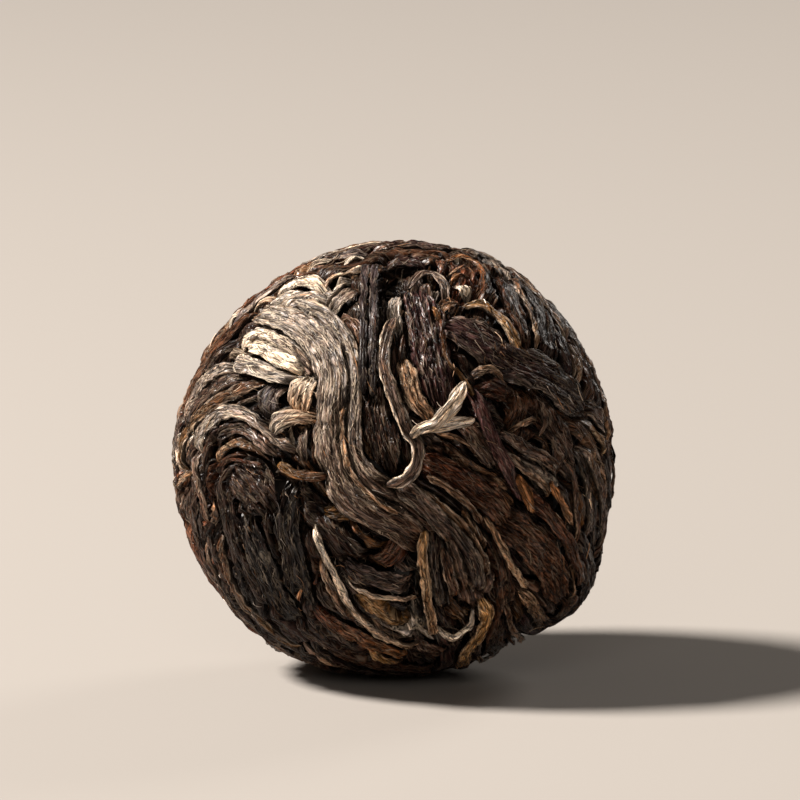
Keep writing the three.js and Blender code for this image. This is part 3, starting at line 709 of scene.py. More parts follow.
# Rolled strands are whole leaves rolled up lengthwise, tan where their paler underside shows. The first
# is the loop: a folded strand with cream rims that comes down beside the stems and hooks to the left.
strands = []
LOOP = {
    "rim": 1.3, "thick": 0.6, "most": 0.45, "ridge": 0.05, "crumple": 0.02, "twist": 0.0, "down": 0.3,
    "hidden": 0,
}
STRAND = {
    "pleat_gap": 0.4, "torn": 0.3, "thick": 0.45, "flat": 2.6, "ridge": 0.08, "gap": 0.18, "down": 0.6,
    "twist": 0.08,
}
lay(strands, route((0.1, 8.6), (-0.35, 7.4), (-0.6, 5.7), (-0.2, 4.4), (0.2, 3.1), (0.7, 1.8), (1.3, 1.0),
                   (1.4, 0.1), (1.1, -0.7), (0.5, -1.3), (-0.5, -1.6)),
    0.75, (GREY_BROWN, GREY_BROWN), 0.22, **LOOP)
for width, rise, tips, tints, *points in [
    (0.95, 0.1, (0.25, 0.6), (1.3 * GOLD, GOLD), (5.2, -8.4), (5.6, -9.3), (5.4, -10.2), (4.9, -11.0),
        (4.3, -11.8), (4.1, -12.7)),
    (0.5, 0.15, (0.3, 0.7), (CREAM, 1.2 * CREAM), (2.7, -10.5), (3.4, -10.8), (4.1, -10.5), (4.7, -9.9),
        (5.0, -9.3)),
    (0.65, 0.16, (0.5, 0.6), (0.8 * GOLD, TAN), (1.8, -4.3), (1.7, -5.6), (1.9, -7.2), (2.1, -8.8),
        (2.5, -10.9)),
    (0.6, 0.22, (0.3, 0.2), (CREAM, TAN), (-4.9, -3.7), (-4.5, -4.8), (-4.0, -6.0), (-3.4, -7.2),
        (-2.8, -8.5), (-2.0, -9.5), (-1.0, -10.4), (0.2, -11.1), (1.5, -11.5)),
    (0.55, 0.08, (0.3, 0.3), (TAN, BROWN), (-4.6, -6.0), (-4.0, -7.3), (-3.3, -8.6), (-2.4, -9.9)),
    (0.3, 0.16, (0.5, 0.3), (CREAM, TAN), (-3.2, -7.3), (-2.2, -7.8), (-0.7, -8.2), (1.4, -8.4)),
    (0.35, 0.1, (0.5, 0.3), (TAN, GREY_BROWN), (-1.4, -10.0), (-0.2, -10.8), (1.2, -11.2)),
    (0.7, 0.02, (0.3, 0.5), (BROWN, BROWN), (2.9, -5.4), (3.4, -7.0), (3.9, -8.6)),
    (0.7, 0.0, (0.3, 0.5), (GREY_BROWN, BROWN), (3.4, -4.8), (3.9, -6.4), (4.4, -8.2)),
    (0.8, 0.2, (0.5, 0.5), (SILVER, SILVER), (0.2, 10.1), (0.0, 8.9), (0.3, 7.6)),
    (1.2, 0.16, (0.5, 0.4), (GREY_BROWN, DARK), (-0.2, -1.3), (1.0, -2.1), (2.2, -3.2), (3.5, -4.6),
        (4.6, -6.2), (5.0, -8.2)),
    (0.8, 0.1, (0.5, 0.4), (TAN, BROWN), (1.6, -1.9), (2.9, -3.0), (4.1, -4.2), (5.2, -5.9), (5.5, -7.6)),
    (1.1, 0.04, (0.4, 0.6), (0.8 * TAN, 1.4 * TAN), (0.5, 6.4), (1.0, 4.8), (1.4, 3.6), (2.4, 2.5)),
    (1.1, 0.04, (0.4, 0.3), (DARK, BLACK), (2.5, -4.4), (2.6, -5.8), (2.8, -7.6), (3.2, -9.3)),
    (0.7, 0.02, (0.5, 0.3), (BROWN, OLIVE), (-10.7, -4.6), (-10.3, -6.1), (-9.8, -7.5), (-9.1, -8.8),
        (-7.9, -9.8), (-5.6, -11.6)),
    (0.7, 0.0, (0.5, 0.3), (BROWN, BROWN), (-11.7, -4.9), (-10.9, -7.0), (-10.1, -8.6), (-8.6, -10.1),
        (-6.2, -11.8)),
    (0.85, 0.22, (0.4, 0.3), (GREY_BROWN, SILVER), (-6.1, 0.4), (-6.9, 1.2), (-8.0, 2.1), (-9.2, 2.8),
        (-10.2, 2.8), (-11.1, 2.2), (-11.7, 1.2), (-11.9, 0.2)),
    (0.65, 0.18, (0.6, 0.3), (GREY_BROWN, 1.2 * BROWN), (-11.2, 2.1), (-11.7, 1.2), (-11.9, 0.0),
        (-11.8, -1.3), (-11.5, -2.6), (-11.3, -4.2)),
    (0.95, 0.08, (0.4, 0.5), (BROWN, OLIVE), (-8.0, 4.9), (-9.4, 4.2), (-10.9, 3.4), (-12.1, 2.3),
        (-12.8, 1.0), (-12.9, -0.8)),
    (0.8, 0.02, (0.4, 0.5), (DARK, BROWN), (-8.2, 4.2), (-9.7, 3.6), (-11.0, 2.8), (-11.9, 1.6)),
    (1.1, 0.06, (0.4, 0.5), (SILVER, GREY_BROWN), (-9.6, 6.1), (-10.8, 5.5), (-11.9, 4.6), (-12.6, 3.2),
        (-13.0, 1.9)),
    (0.75, 0.14, (0.5, 0.5), (SILVER, TAN), (-12.7, 2.6), (-12.9, 1.6), (-13.0, 0.4), (-12.9, -1.0)),
    (0.45, 0.14, (0.4, 0.4), (TAN, TAN), (-13.1, -1.8), (-12.7, -1.2), (-12.1, -0.8)),
    (0.6, 0.04, (0.5, 0.5), (BROWN, GREY_BROWN), (-12.9, -1.7), (-12.8, -2.9), (-12.5, -4.3)),
    (0.55, 0.05, (0.3, 0.3), (GREY_BROWN, TAN), (4.4, 4.9), (5.2, 5.3), (6.0, 5.4), (6.9, 4.7)),
    (0.8, 0.02, (0.2, 0.3), (GREY_BROWN, BROWN), (6.5, 1.7), (7.7, 0.8), (9.1, 0.1), (10.3, -0.9)),
    (0.3, 0.06, (0.3, 0.3), (GREY_BROWN, BROWN), (8.9, 3.9), (9.05, 2.7), (9.0, 1.4)),
    (0.9, 0.12, (0.3, 0.15), (OLIVE, GOLD), (4.3, 9.6), (5.5, 9.2), (6.6, 8.2), (7.3, 7.2), (7.8, 6.4)),
    (0.35, 0.16, (0.4, 0.3), (0.8 * TAN, TAN), (-3.0, 3.4), (-3.1, 1.4), (-2.7, -0.6), (-1.3, -2.3),
        (0.5, -3.4)),
    (0.45, 0.06, (0.4, 0.3), (TAN, BROWN), (2.0, -1.0), (3.2, -1.7), (4.5, -2.8), (5.4, -4.0)),
    (0.5, 0.05, (0.3, 0.3), (GREY_BROWN, TAN), (6.8, 0.6), (7.6, -0.4), (8.8, -1.3), (9.8, -2.4)),
    (0.35, 0.06, (0.4, 0.3), (TAN, BROWN), (6.9, 1.3), (7.5, 2.0), (8.4, 2.4), (9.3, 2.3)),
    (0.4, 0.08, (0.3, 0.3), (TAN, TAN), (5.6, -3.5), (6.4, -5.2), (7.3, -6.8), (8.0, -7.8)),
    (0.75, 0.03, (0.4, 0.4), (GREY_BROWN, BROWN), (11.4, 0.9), (12.2, -0.7), (12.6, -2.5), (12.4, -4.6),
        (11.7, -5.9)),
    (0.6, 0.0, (0.4, 0.4), (DARK, GREY_BROWN), (11.0, 0.8), (11.7, -1.3), (11.9, -3.0), (11.6, -5.0)),
    (0.5, 0.02, (0.4, 0.4), (BROWN, BROWN), (10.3, 0.3), (10.9, -1.3), (11.0, -3.4), (10.8, -5.3)),
    (0.7, 0.0, (0.4, 0.4), (BROWN, TAN), (10.6, 7.5), (11.2, 6.0), (11.5, 4.5)),
    (0.35, 0.05, (0.4, 0.3), (BROWN, TAN), (7.0, 11.1), (7.7, 9.9), (8.2, 8.9), (8.8, 6.8)),
    (0.35, 0.05, (0.4, 0.4), (TAN, CREAM), (-4.5, 10.5), (-3.7, 11.2), (-2.6, 11.5), (-1.3, 11.9)),
]:
    lay(strands, route(*points), width, tints, rise, tips=tips, rim=0.35, **STRAND)
join("rolled_strands", strands, leaf_finish("tan_leaf"))

# Grey-brown leaves with a silver bloom are young ones that kept some of their down: the broad curl beside
# the middle and those that sweep into it. They were rolled lengthwise and creased as the ball was pressed.
greys = []
GREY = {"ridge": 0.08, "gap": 0.17, "pleat": 0.05, "crumple": 0.1, "down": 0.7, "twist": 0.04, "rim": 0.15}
for width, rise, tips, tints, *points in [
    (1.9, 0.16, (0.4, 0.35), (0.85 * SILVER, 1.1 * BROWN), (-8.6, 9.0), (-7.0, 8.7), (-5.5, 8.0),
        (-4.4, 6.9), (-3.9, 5.6), (-3.8, 4.2), (-3.95, 2.0), (-3.85, 0.1), (-3.0, -1.85), (-1.4, -3.15),
        (0.6, -4.3), (2.0, -5.6)),
    (1.5, 0.06, (0.4, 0.35), (0.7 * SILVER, BROWN), (-6.9, 9.4), (-5.2, 9.0), (-3.7, 8.0), (-2.85, 6.4),
        (-2.6, 4.4), (-2.7, 2.2), (-2.6, 0.6), (-1.9, -0.8), (-0.7, -1.9), (1.2, -3.1), (2.8, -4.4),
        (3.6, -5.5)),
    (1.3, 0.08, (0.5, 0.3), (CREAM, CREAM), (-7.5, 10.2), (-6.3, 10.8), (-5.0, 10.9), (-4.0, 10.5)),
    (1.2, 0.02, (0.5, 0.5), (STONE, GREY_BROWN), (-10.4, 7.9), (-9.2, 9.2), (-7.6, 10.6), (-5.9, 11.7)),
    (0.9, 0.02, (0.5, 0.5), (GREY_BROWN, STONE), (-4.9, 12.1), (-3.3, 12.6), (-1.4, 12.9)),
    (1.7, 0.04, (0.5, 0.4), (CREAM, SILVER), (-8.4, 9.0), (-7.2, 9.6), (-6.0, 10.0), (-4.9, 10.2),
        (-3.8, 9.9)),
    (1.3, 0.08, (0.4, 0.4), (CREAM, SILVER), (-5.1, 9.3), (-4.3, 10.1), (-3.4, 10.8), (-2.4, 11.2)),
    (1.2, 0.03, (0.4, 0.4), (SILVER, BROWN), (-4.5, 8.9), (-3.6, 9.5), (-2.7, 10.1), (-2.0, 10.6)),
    (1.7, 0.06, (0.4, 0.5), (SILVER, SILVER), (-9.0, 7.9), (-7.4, 7.8), (-6.1, 7.1), (-5.0, 6.1),
        (-4.0, 5.0)),
    (1.8, 0.02, (0.8, 0.9), (STONE, STONE), (-6.9, 5.3), (-7.4, 4.1), (-7.9, 2.3)),
    (2.9, 0.04, (0.15, 0.5), (1.2 * PLUM, DARK), (2.8, 8.4), (5.2, 7.1), (7.6, 5.8), (10.0, 4.6),
        (11.9, 3.0)),
    (0.5, 0.1, (0.3, 0.2), (TAN, CREAM), (-6.5, 2.2), (-6.4, 1.4), (-6.2, 0.5)),
    (0.8, 0.02, (0.4, 0.4), (GREY_BROWN, DARK), (-5.6, 2.0), (-5.5, 0.9), (-5.5, -0.2)),
    (0.7, 0.02, (0.4, 0.4), (BROWN, BROWN), (-5.0, 2.0), (-4.8, 0.9), (-4.9, -0.3)),
    (1.0, 0.0, (0.4, 0.6), (BROWN, BROWN), (-5.0, 9.2), (-3.5, 8.8), (-2.3, 8.0), (-1.9, 6.6)),
    (0.7, 0.05, (0.4, 0.5), (GREY_BROWN, GREY_BROWN), (0.9, 10.7), (1.9, 11.3), (2.8, 10.9), (3.2, 9.7)),
]:
    lay(greys, route(*points), width, tints, rise, tips=tips, **GREY)
silver_bloom = leaf_finish("silver_bloom", 0.4, hairless=0.4, creased=0.6, grained=0.3)
join("grey_leaves", greys, silver_bloom)

# Russet leaves are older and oxidised, so they are thin, reddish and easily torn. The crumpled scrap high
# on the right is the reddest of them.
russets = []
RUSSET_LEAF = {"down": 0.5, "torn": 0.6, "tips": (0.5, 0.5)}
for width, rise, crumple, tints, *points in [
    (0.8, 0.26, 0.1, (1.3 * CREAM, CREAM), (3.8, 10.6), (4.2, 10.1), (4.5, 9.6)),
    (0.35, 0.22, 0.1, (0.8 * ORANGE, RUSSET), (3.2, 12.2), (4.4, 11.9), (5.1, 11.3), (5.2, 10.4),
        (4.9, 9.6)),
    (0.3, 0.24, 0.1, (0.9 * ORANGE, RUSSET), (3.4, 10.6), (3.9, 10.9), (4.6, 10.8)),
    (0.28, 0.24, 0.1, (0.9 * TAN, RUSSET), (3.2, 11.1), (3.8, 11.3), (4.3, 11.7)),
    (0.25, 0.22, 0.1, (0.8 * ORANGE, RUSSET), (3.1, 10.3), (3.5, 10.8), (3.7, 11.4)),
    (1.9, 0.18, 0.3, (0.9 * RUSSET, 1.1 * RUSSET), (4.0, 12.3), (4.3, 11.4), (4.2, 10.4), (3.9, 9.6)),
    (1.2, 0.1, 0.05, (1.1 * RUSSET, RUSSET), (2.7, 12.3), (3.2, 11.7), (3.4, 10.9)),
    (0.85, 0.1, 0.15, (TAN, RUSSET), (2.5, 9.1), (3.2, 9.4), (4.0, 9.8)),
    (0.4, 0.05, 0.0, (OLIVE, ORANGE), (2.3, 9.4), (2.5, 8.9), (2.8, 8.4)),
    (0.9, 0.02, 0.05, (RUSSET, BROWN), (6.9, -1.2), (8.2, -2.3), (9.4, -3.5), (10.3, -4.9), (10.7, -6.3),
        (10.7, -7.3)),
    (0.5, 0.08, 0.0, (BROWN, TAN), (9.8, -3.6), (10.4, -5.2), (10.5, -6.6), (10.1, -8.0)),
    (1.4, -0.02, 0.05, (0.5 * RUSSET, 0.5 * RUSSET), (4.9, 4.3), (6.1, 4.2), (7.5, 3.7)),
    (1.8, 0.0, 0.18, (0.95 * RUSSET, 1.2 * BROWN), (1.2, 0.5), (1.9, -0.1), (3.4, -1.0), (4.9, -1.9),
        (6.3, -3.0), (7.2, -4.2)),
    (0.5, 0.06, 0.0, (OLIVE, OLIVE), (5.1, -0.9), (5.5, -1.3), (6.0, -1.7)),
    (0.9, 0.08, 0.1, (GOLD, OLIVE), (-1.4, -11.8), (-0.4, -12.3), (0.8, -12.5)),
    (1.3, 0.04, 0.15, (0.8 * RUSSET, 0.7 * ORANGE), (-5.1, -9.0), (-3.5, -10.1), (-2.0, -11.0),
        (-0.6, -11.8), (0.8, -12.4)),
    (0.5, 0.05, 0.0, (RUSSET, ORANGE), (8.8, -10.2), (9.2, -10.6), (9.4, -11.0)),
    (0.35, 0.02, 0.0, (RUSSET, RUSSET), (-11.7, -4.1), (-11.2, -3.8)),
    (0.4, 0.05, 0.0, (RUSSET, RUSSET), (-11.1, -5.8), (-10.9, -6.5)),
    (0.35, 0.05, 0.0, (ORANGE, RUSSET), (-5.6, -7.8), (-5.8, -8.7)),
    (0.5, 0.05, 0.05, (TAN, RUSSET), (-2.3, 0.8), (-2.1, 0.2)),
]:
    lay(russets, route(*points), width, tints, rise, crumple=crumple, **RUSSET_LEAF)
join("russet_leaves", russets, leaf_finish("russet_leaf"))

# Dark leaves make up most of the ball. They are grown leaves, rolled lengthwise and dried almost black.
# These are the ones that stand out on its face.
darks = []
DARK_LEAF = {"crumple": 0.2, "down": 0.55, "torn": 0.6, "tips": (0.4, 0.35)}
for width, rise, tints, *points in [
    (0.9, -0.45, (BLACK, BLACK), (-0.75, 10.6), (-0.72, 8.0), (-0.8, 4.4)),
    (1.6, -0.7, (BLACK, BLACK), (-0.9, 11.2), (0.1, 10.9), (1.0, 10.4)),
    (0.8, -0.4, (BLACK, BLACK), (1.6, -7.0), (1.8, -8.8), (1.9, -10.4)),
    (1.2, -0.4, (BLACK, BLACK), (-0.6, -9.1), (0.5, -9.1), (1.4, -9.0)),
    (2.1, 0.0, (DARK, DARK), (-1.1, 4.6), (-0.8, 1.4), (-0.2, -1.1)),
    (0.7, 0.0, (OLIVE, OLIVE), (-2.6, 0.8), (-1.7, -0.5), (-0.4, -1.7)),
    (0.6, 0.02, (TAN, OLIVE), (-3.0, 0.1), (-2.4, -1.0), (-1.1, -1.9), (0.2, -2.6)),
    (2.6, 0.08, (PLUM, PLUM), (1.5, 10.6), (1.8, 8.3), (2.2, 6.2), (2.9, 3.0)),
    (2.2, 0.0, (1.4 * BROWN, 1.2 * BROWN), (7.5, 5.2), (7.8, 3.6), (7.9, 2.2), (7.8, 0.4)),
    (1.2, 0.0, (BROWN, DARK), (2.0, 0.8), (2.6, 0.3), (3.2, -0.2)),
    (0.6, 0.0, (TAN, DARK), (4.2, -2.9), (5.0, -4.3), (5.6, -6.0)),
    (0.8, 0.0, (BROWN, GREY_BROWN), (5.5, -6.0), (5.7, -7.2), (5.5, -8.5)),
    (2.3, 0.0, (1.2 * BROWN, 1.2 * BROWN), (4.8, -2.6), (6.4, -3.7), (7.9, -4.8), (9.3, -6.3),
        (10.1, -8.0)),
    (1.6, 0.04, (0.7 * STONE, 0.8 * GREY_BROWN), (-3.4, -6.2), (-2.2, -7.0), (-0.5, -7.5), (1.8, -7.6)),
    (1.3, 0.02, (RUSSET, BROWN), (0.9, -3.9), (0.4, -5.0), (-0.4, -6.0), (-1.8, -6.6)),
    (1.2, 0.0, (OLIVE, BROWN), (-4.4, -3.2), (-2.6, -3.2), (-0.8, -3.7), (1.0, -3.9)),
    (1.5, 0.02, (GOLD, OLIVE), (-2.4, -8.3), (-0.9, -9.2), (0.9, -10.3)),
    (1.0, 0.0, (BROWN, OLIVE), (2.9, -8.7), (3.8, -9.3), (4.7, -9.8)),
    (3.1, 0.06, (DARK, DARK), (-10.0, -0.1), (-9.1, -1.2), (-8.1, -2.3), (-7.2, -3.7)),
    (0.9, -0.05, (DARK, GREY_BROWN), (-11.1, 0.8), (-10.4, 1.6), (-9.4, 1.9), (-8.3, 1.3), (-7.3, 0.2)),
    (0.9, -0.1, (TAN, DARK), (-11.2, -0.3), (-10.5, 0.7), (-9.5, 1.1), (-8.4, 0.6), (-7.6, -0.2)),
    (0.8, -0.15, (DARK, BROWN), (-11.0, -1.2), (-10.5, -0.1), (-9.6, 0.3), (-8.6, 0.1)),
    (1.7, 0.0, (BLACK, BLACK), (-6.2, -1.0), (-6.6, -2.6), (-6.6, -4.3), (-6.0, -6.1), (-5.3, -9.2)),
    (1.9, 0.0, (BLACK, BLACK), (-9.2, -3.2), (-8.6, -5.0), (-7.6, -7.3), (-5.7, -10.2)),
    (0.45, 0.05, (TAN, BROWN), (-11.5, -2.5), (-10.9, -2.9), (-10.8, -3.6), (-11.1, -4.3)),
    (0.9, 0.0, (GREY_BROWN, BROWN), (1.4, -11.3), (2.2, -11.7), (3.3, -12.0)),
    (0.8, 0.0, (TAN, BROWN), (7.6, -8.0), (8.3, -8.8), (8.9, -10.0)),
    (1.1, 0.02, (GREY_BROWN, DARK), (-1.7, 12.9), (0.6, 13.1), (3.2, 12.85), (5.8, 11.9)),
    (1.2, -0.1, (DARK, PLUM), (-0.7, 12.2), (0.6, 12.3), (2.2, 12.0)),
]:
    lay(darks, route(*points), width, tints, rise, **DARK_LEAF)
join("dark_leaves", darks, leaf_finish("dark_leaf", grained=0.5))

# Crossing slips are leaves and torn strips that were caught across the others when the cloth was twisted.
# They lie where the ball is still bare. A leaf takes its way from its neighbours, or far from any, from
# the swirl in which the ball was twisted shut. Deep hollows between the leaves laid so far come first.
TWIST_AXIS = unit(np.array([0.05, -0.75, 0.66]))
SWIRL_PULL = 0.3
FLOW_REACH = 1.6
FARTHEST = 2.5 * FLOW_REACH
GROW_STEP = 0.5
HEADING_KEPT = 0.75
ROUTE_BEND = 0.04
LONGEST_HIDDEN = 1.2

# Each hollow has its place right and up, its half width and height, and its depth.
HOLLOW_EDGE = 1.6
HOLLOWS = [
    (0.2, 10.8, 1.1, 1.2, 1.0), (-0.7, 8.0, 0.45, 3.6, 0.7), (1.8, -8.8, 0.45, 3.0, 0.7),
    (0.5, -9.1, 1.0, 0.6, 0.7), (-9.5, 4.0, 0.8, 0.5, 0.6), (-4.5, -2.7, 0.5, 0.7, 0.7),
    (-6.4, 4.0, 0.6, 0.5, 0.6), (-9.5, 7.3, 0.6, 0.5, 0.5),
]
for right, up, wide, high, depth in HOLLOWS:
    across = (cell_directions @ view_right * BALL_RADIUS - right) / wide
    upward = (cell_directions @ view_up * BALL_RADIUS - up) / high
    pressed = np.clip(HOLLOW_EDGE - across ** 2 - upward ** 2, 0, 1) * (cell_directions @ view_near > 0)
    depth_map = np.maximum(depth_map, depth * pressed)


def look_round():
    """Gathers where the leaves laid so far lie, and which way they run."""
    global known_places, known_ways
    known_places, known_ways = np.vstack(flow_places), np.vstack(flow_ways)


def flow_at(place):
    """The way that leaves run at a place on the ball."""
    swirl = np.cross(TWIST_AXIS, place)
    spread = np.outer(swirl, swirl) * SWIRL_PULL + 1e-3 * np.outer(view_right, view_right)
    close = known_places @ place > math.cos(FARTHEST / BALL_RADIUS)
    if close.any():
        apart = (1 - known_places[close] @ place) * BALL_RADIUS ** 2 / FLOW_REACH ** 2
        ways = known_ways[close]
        spread = spread + (ways * np.exp(-apart)[:, None]).T @ ways
    flat = np.eye(3) - np.outer(place, place)
    return np.linalg.eigh(flat @ spread @ flat)[1][:, 2]


def strayed(place, flow, stray):
    """The flow at a place, turned by a random angle."""
    turn = math.radians(random.normal(0, stray))
    return math.cos(turn) * flow + math.sin(turn) * np.cross(place, flow)


def grow(place, length, stray):
    """A route of about that length through a place, which strays from the way its neighbours run."""
    first = strayed(place, flow_at(place), stray)
    bend = random.normal(0, ROUTE_BEND)
    halves = []
    for sense in (1, -1):
        spot, heading, hidden, points = place, sense * first, 0, []
        for _ in range(int(length / 2 / GROW_STEP * random.uniform(0.7, 1.5))):
            flow = flow_at(spot)
            flow = flow * np.sign(flow @ heading + 1e-9)
            side = sense * bend * np.cross(spot, heading)
            heading = unit(heading * HEADING_KEPT + flow * (1 - HEADING_KEPT) + side)
            spot = unit(spot + heading * GROW_STEP / BALL_RADIUS)
            points.append(spot)
            hidden = hidden + GROW_STEP if covered[map_cell(spot)] else 0
            if hidden > LONGEST_HIDDEN:
                break
        halves.append(points)
    return np.array(halves[1][::-1] + [place] + halves[0])[::2]


def spots_round(place, spread, count):
    """Random places near one."""
    return unit(place + random.normal(0, spread, (count, 3)))


# Broad and narrow slips each have their lengths, how far they stray in degrees, and their widths.
SLIPS = 260
SLIP_SPOTS, SLIP_SPREAD = 16, 0.06
BROAD_SHARE = 0.25
BROAD_SLIPS = ((4, 9), 40, (1.2, 2.2))
NARROW_SLIPS = ((2.5, 10), 22, (0.3, 0.7))
SLIP_SHADES = (TAN, SILVER, GOLD, BROWN, GREY_BROWN, CREAM)
SHADE_SHARES = (0.3, 0.2, 0.1, 0.2, 0.15, 0.05)
slips = []
look_round()
for place in unit(random.normal(size=(SLIPS, 3))):
    if covered[map_cell(spots_round(place, SLIP_SPREAD, SLIP_SPOTS))].any():
        continue
    broad = random.random() < BROAD_SHARE
    lengths, stray, widths = BROAD_SLIPS if broad else NARROW_SLIPS
    points = grow(place, random.uniform(*lengths), stray)
    if len(points) > 2:
        shade = SLIP_SHADES[random.choice(len(SLIP_SHADES), p=SHADE_SHARES)]
        tints = (BROWN, DARK) if broad else (shade, BROWN)
        width = random.uniform(*widths)
        lay(slips, points, width, tints, random.uniform(0, 0.1), rim=0.3, fine=0.8, **STRAND)
join("crossing_slips", slips, leaf_finish("tan_slip"))

# The rest of the ball is wrapped in leaves that run beside their neighbours: long ones first, then narrow
# and broken ones in the gaps. Each starts where the ball is still bare, and ends where it ducks under
# others. Dark kinds make up most of it, and pale kinds gather in patches.
FRONT_FINE, BACK_FINE = 0.92, 0.6
WRAP_SPOTS, WRAP_SPREAD = 24, 0.4
MOST_COVERED = 0.6
OVERLAP = 1.2
NARROWEST_TIP, WIDEST_TIP = 0.2, 0.7
AT_ONCE = 12

# Each kind has its share, its colours at both ends, and its share of pale fibres.
DARK_KINDS = [
    (0.40, (DARK, DARK), 0.5), (0.22, (BROWN, DARK), 0.5), (0.13, (PLUM, DARK), 0.6),
    (0.12, (GREY_BROWN, DARK), 0.7), (0.07, (OLIVE, BROWN), 0.35), (0.06, (RUSSET, BROWN), 0.4),
]
PALE_KINDS = [
    (0.34, (GREY_BROWN, BROWN), 0.6), (0.22, (TAN, BROWN), 0.5), (0.16, (SILVER, GREY_BROWN), 0.8),
    (0.14, (BROWN, BROWN), 0.4), (0.08, (SILVER, CREAM), 0.85), (0.06, (OLIVE, TAN), 0.3),
]

# Each patch has its middle as seen from the camera (right, up, near), its reach, and how much it adds to
# the share of pale kinds. Where it takes away more than there is, leaves are darker too.
PALE_SHARE = 0.2
PALE_PATCHES = [
    ((-0.45, 0.62, 0.64), 5.0, 0.6), ((-0.93, 0.25, 0.3), 3.0, 0.3), ((0.15, -0.8, 0.58), 4.0, 0.25),
    ((0.6, -0.55, 0.6), 6.0, 0.1), ((0.6, 0.05, 0.8), 4.5, 0.5), ((-0.6, -0.5, 0.6), 6.5, -0.85),
    ((0.55, 0.35, -0.75), 5.0, 0.6), ((-0.6, -0.3, -0.74), 5.0, 0.5), ((0.0, 0.95, -0.3), 3.5, 0.3),
]


def kind_at(place):
    """A random kind of leaf, more often a pale one where the ball has a pale patch."""
    share = PALE_SHARE
    for (right, up, near), reach, more in PALE_PATCHES:
        middle = unit(right * view_right + up * view_up + near * view_near)
        share += more * math.exp(-((1 - place @ middle) * 2 * BALL_RADIUS ** 2 / reach ** 2))
    kinds = PALE_KINDS if random.random() < share else DARK_KINDS
    (start, end), down = kinds[random.choice(len(kinds), p=[kind[0] for kind in kinds])][1:]
    shaded = 1 + min(0, share)
    return (shaded * start, shaded * end), shaded * down


# Leaves of a size are laid until so many tries in a row find no place that is bare enough.
for name, tries, widths, lengths, bare_share, stray in [
    ("long", 60, (1.0, 1.9), (10, 20), 0.65, 14),
    ("narrow", 100, (0.5, 1.0), (6, 12), 0.5, 14),
    ("broken", 150, (0.35, 0.8), (2.5, 5), 0.3, 25),
]:
    wraps = []
    failed = 0
    while failed < tries and not covered.all():
        bare = np.flatnonzero(~covered)
        look_round()
        for place in cell_directions[random.choice(bare, AT_ONCE)]:
            width = random.uniform(*widths)
            around = map_cell(spots_round(place, WRAP_SPREAD * width / BALL_RADIUS, WRAP_SPOTS))
            if covered[around].mean() > 1 - bare_share:
                failed += 1
                continue
            points = grow(place, random.uniform(*lengths), stray)
            if len(points) < 3 or covered[map_cell(points)].mean() > MOST_COVERED:
                failed += 1
                continue
            failed = 0
            tints, down = kind_at(place)
            rise = random.uniform(-0.08, 0.03)
            tips = random.uniform(NARROWEST_TIP, WIDEST_TIP, 2)
            fine = FRONT_FINE if place @ view_near > 0 else BACK_FINE
            lay(wraps, points, OVERLAP * width, tints, rise, down=down, tips=tips, fine=fine)
    join(name + "_leaves", wraps, leaf_finish(name + "_leaf"))

# Inner leaves are what shows deep in the last gaps. They are broken ones from inside the ball, short and
# coarse, and are laid until next to nothing is bare.
BARE_LEFT = 0.016
INNER_FINE = 0.25
INNER_RISE = -0.05
inners = []
while (~covered).mean() > BARE_LEFT:
    bare = np.flatnonzero(~covered)
    look_round()
    for cell in random.choice(bare, AT_ONCE):
        if covered[cell]:
            continue
        place = cell_directions[cell]
        reach = random.uniform(1.0, 1.9) * flow_at(place) / BALL_RADIUS
        points = unit(np.stack([place - reach, place, place + reach]))
        tints, down = kind_at(place)
        width = random.uniform(1.8, 2.8)
        lay(inners, points, width, tints, INNER_RISE, down=down, hidden=0, fine=INNER_FINE)
join("inner_leaves", inners, leaf_finish("inner_leaf"))

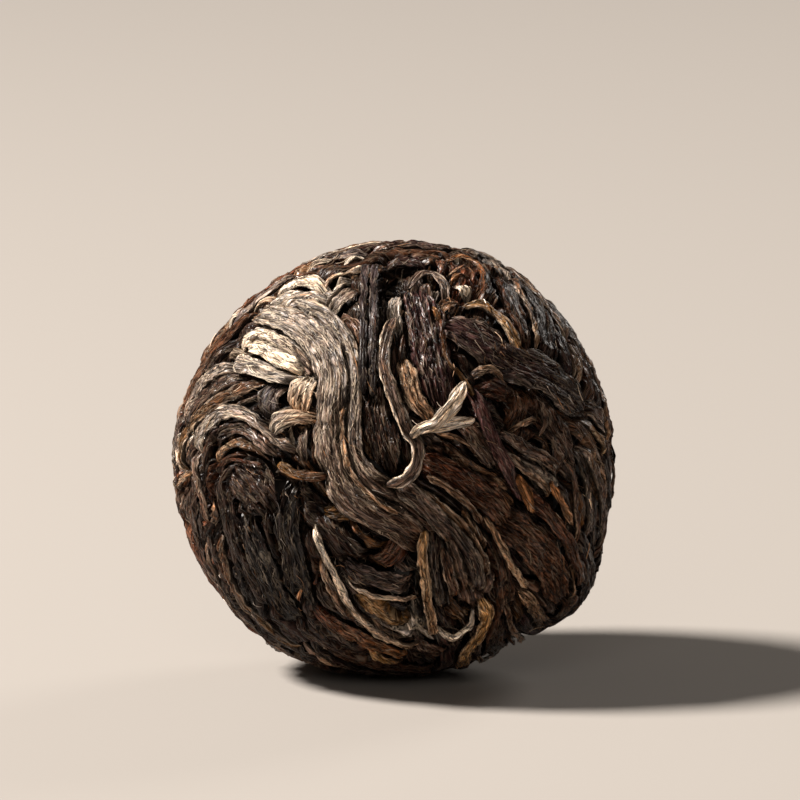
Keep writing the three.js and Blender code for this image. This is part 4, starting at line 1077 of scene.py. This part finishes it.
# Loose fibres and down lie over the leaves, mostly along them. Each is a thin three-sided thread that
# follows the tops of the leaves under it.
FIBRES = 3000
FIBRE_RINGS = 6
FIBRE_STRAY = 16
FIBRE_LENGTHS = (0.4, 1.3)
FIBRE_HALF_WIDTHS = (0.012, 0.022)
FIBRE_CREST = 0.015
FIBRE_ROOT = 0.02
FIBRE_SINK = 0.05
FIBRE_RISE = 0.06
FIBRE_SHADES = (TAN, CREAM, BROWN, SILVER)
FIBRE_SHARES = (0.4, 0.25, 0.2, 0.15)
fibres = []
look_round()
for spot in unit(random.normal(size=(FIBRES, 3))):
    ahead = strayed(spot, flow_at(spot), FIBRE_STRAY)
    side = np.cross(ahead, spot)
    length = random.uniform(*FIBRE_LENGTHS)
    steps = np.linspace(-0.5, 0.5, FIBRE_RINGS)
    bow = random.normal(0, 0.25) * (steps ** 2)
    middle = unit(spot + length / BALL_RADIUS * (steps[:, None] * ahead + bow[:, None] * side))
    depth = top_map[map_cell(middle)]
    depth = np.minimum(depth, depth.mean() + FIBRE_SINK)
    depth = np.convolve(np.pad(depth, 1, mode="edge"), [0.25, 0.5, 0.25], "valid")
    depth = depth - random.uniform(0.0, FIBRE_RISE)
    half = random.uniform(*FIBRE_HALF_WIDTHS) * np.cos(steps * math.pi * 0.94) ** 0.5
    radius = (ball_radius(middle) - depth)[:, None]
    root = middle * (radius - FIBRE_ROOT)
    crest = middle * (radius + FIBRE_CREST)
    points = np.stack([root - half[:, None] * side, crest, root + half[:, None] * side], axis=1)
    shade = FIBRE_SHADES[random.choice(len(FIBRE_SHADES), p=FIBRE_SHARES)]
    tint = np.append(shade * random.uniform(0.3, 1.0), 0)
    fibres.append({
        "points": points, "tint": np.broadcast_to(tint, (FIBRE_RINGS, 3, 4)), "length": 1, "width": 0.05,
    })
for thread in fibres:
    thread["fibre"] = np.zeros((FIBRE_RINGS, 3, 2)) + random.uniform(0, FIBRE_SHEET, 2)
join("loose_fibres", fibres, leaf_finish("fibre_skin"))

# The core is crushed leaf, pressed hard in the middle of the ball. It shows only as darkness between the
# leaves, so a plain lump of the ball's own form stands for it.
CORE_DEPTH = 2.0
CORE_ROUNDS = 6
# Its colour is dark leaf darkened further, painted shade where it shows between the leaves.
CORE_COLOUR = (*(0.4 * DARK), 1)
core = bmesh.new()
bmesh.ops.create_icosphere(core, subdivisions=CORE_ROUNDS, radius=1)
for corner in core.verts:
    direction = np.array(corner.co.normalized())
    corner.co = Vector((direction * (ball_radius(direction[None, :])[0] - CORE_DEPTH) + ball_middle) * MM)
core_mesh = bpy.data.meshes.new("crushed_core")
core.to_mesh(core_mesh)
core.free()
core_piece = bpy.data.objects.new("crushed_core", core_mesh)
bpy.context.scene.collection.objects.link(core_piece)
crushed = bpy.data.materials.new("crushed_leaf_in_shade")
crushed.use_nodes = True
crushed.node_tree.nodes["Principled BSDF"].inputs["Base Color"].default_value = CORE_COLOUR
core_mesh.materials.append(crushed)
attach(core_piece, "root")
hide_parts("tea_ball")
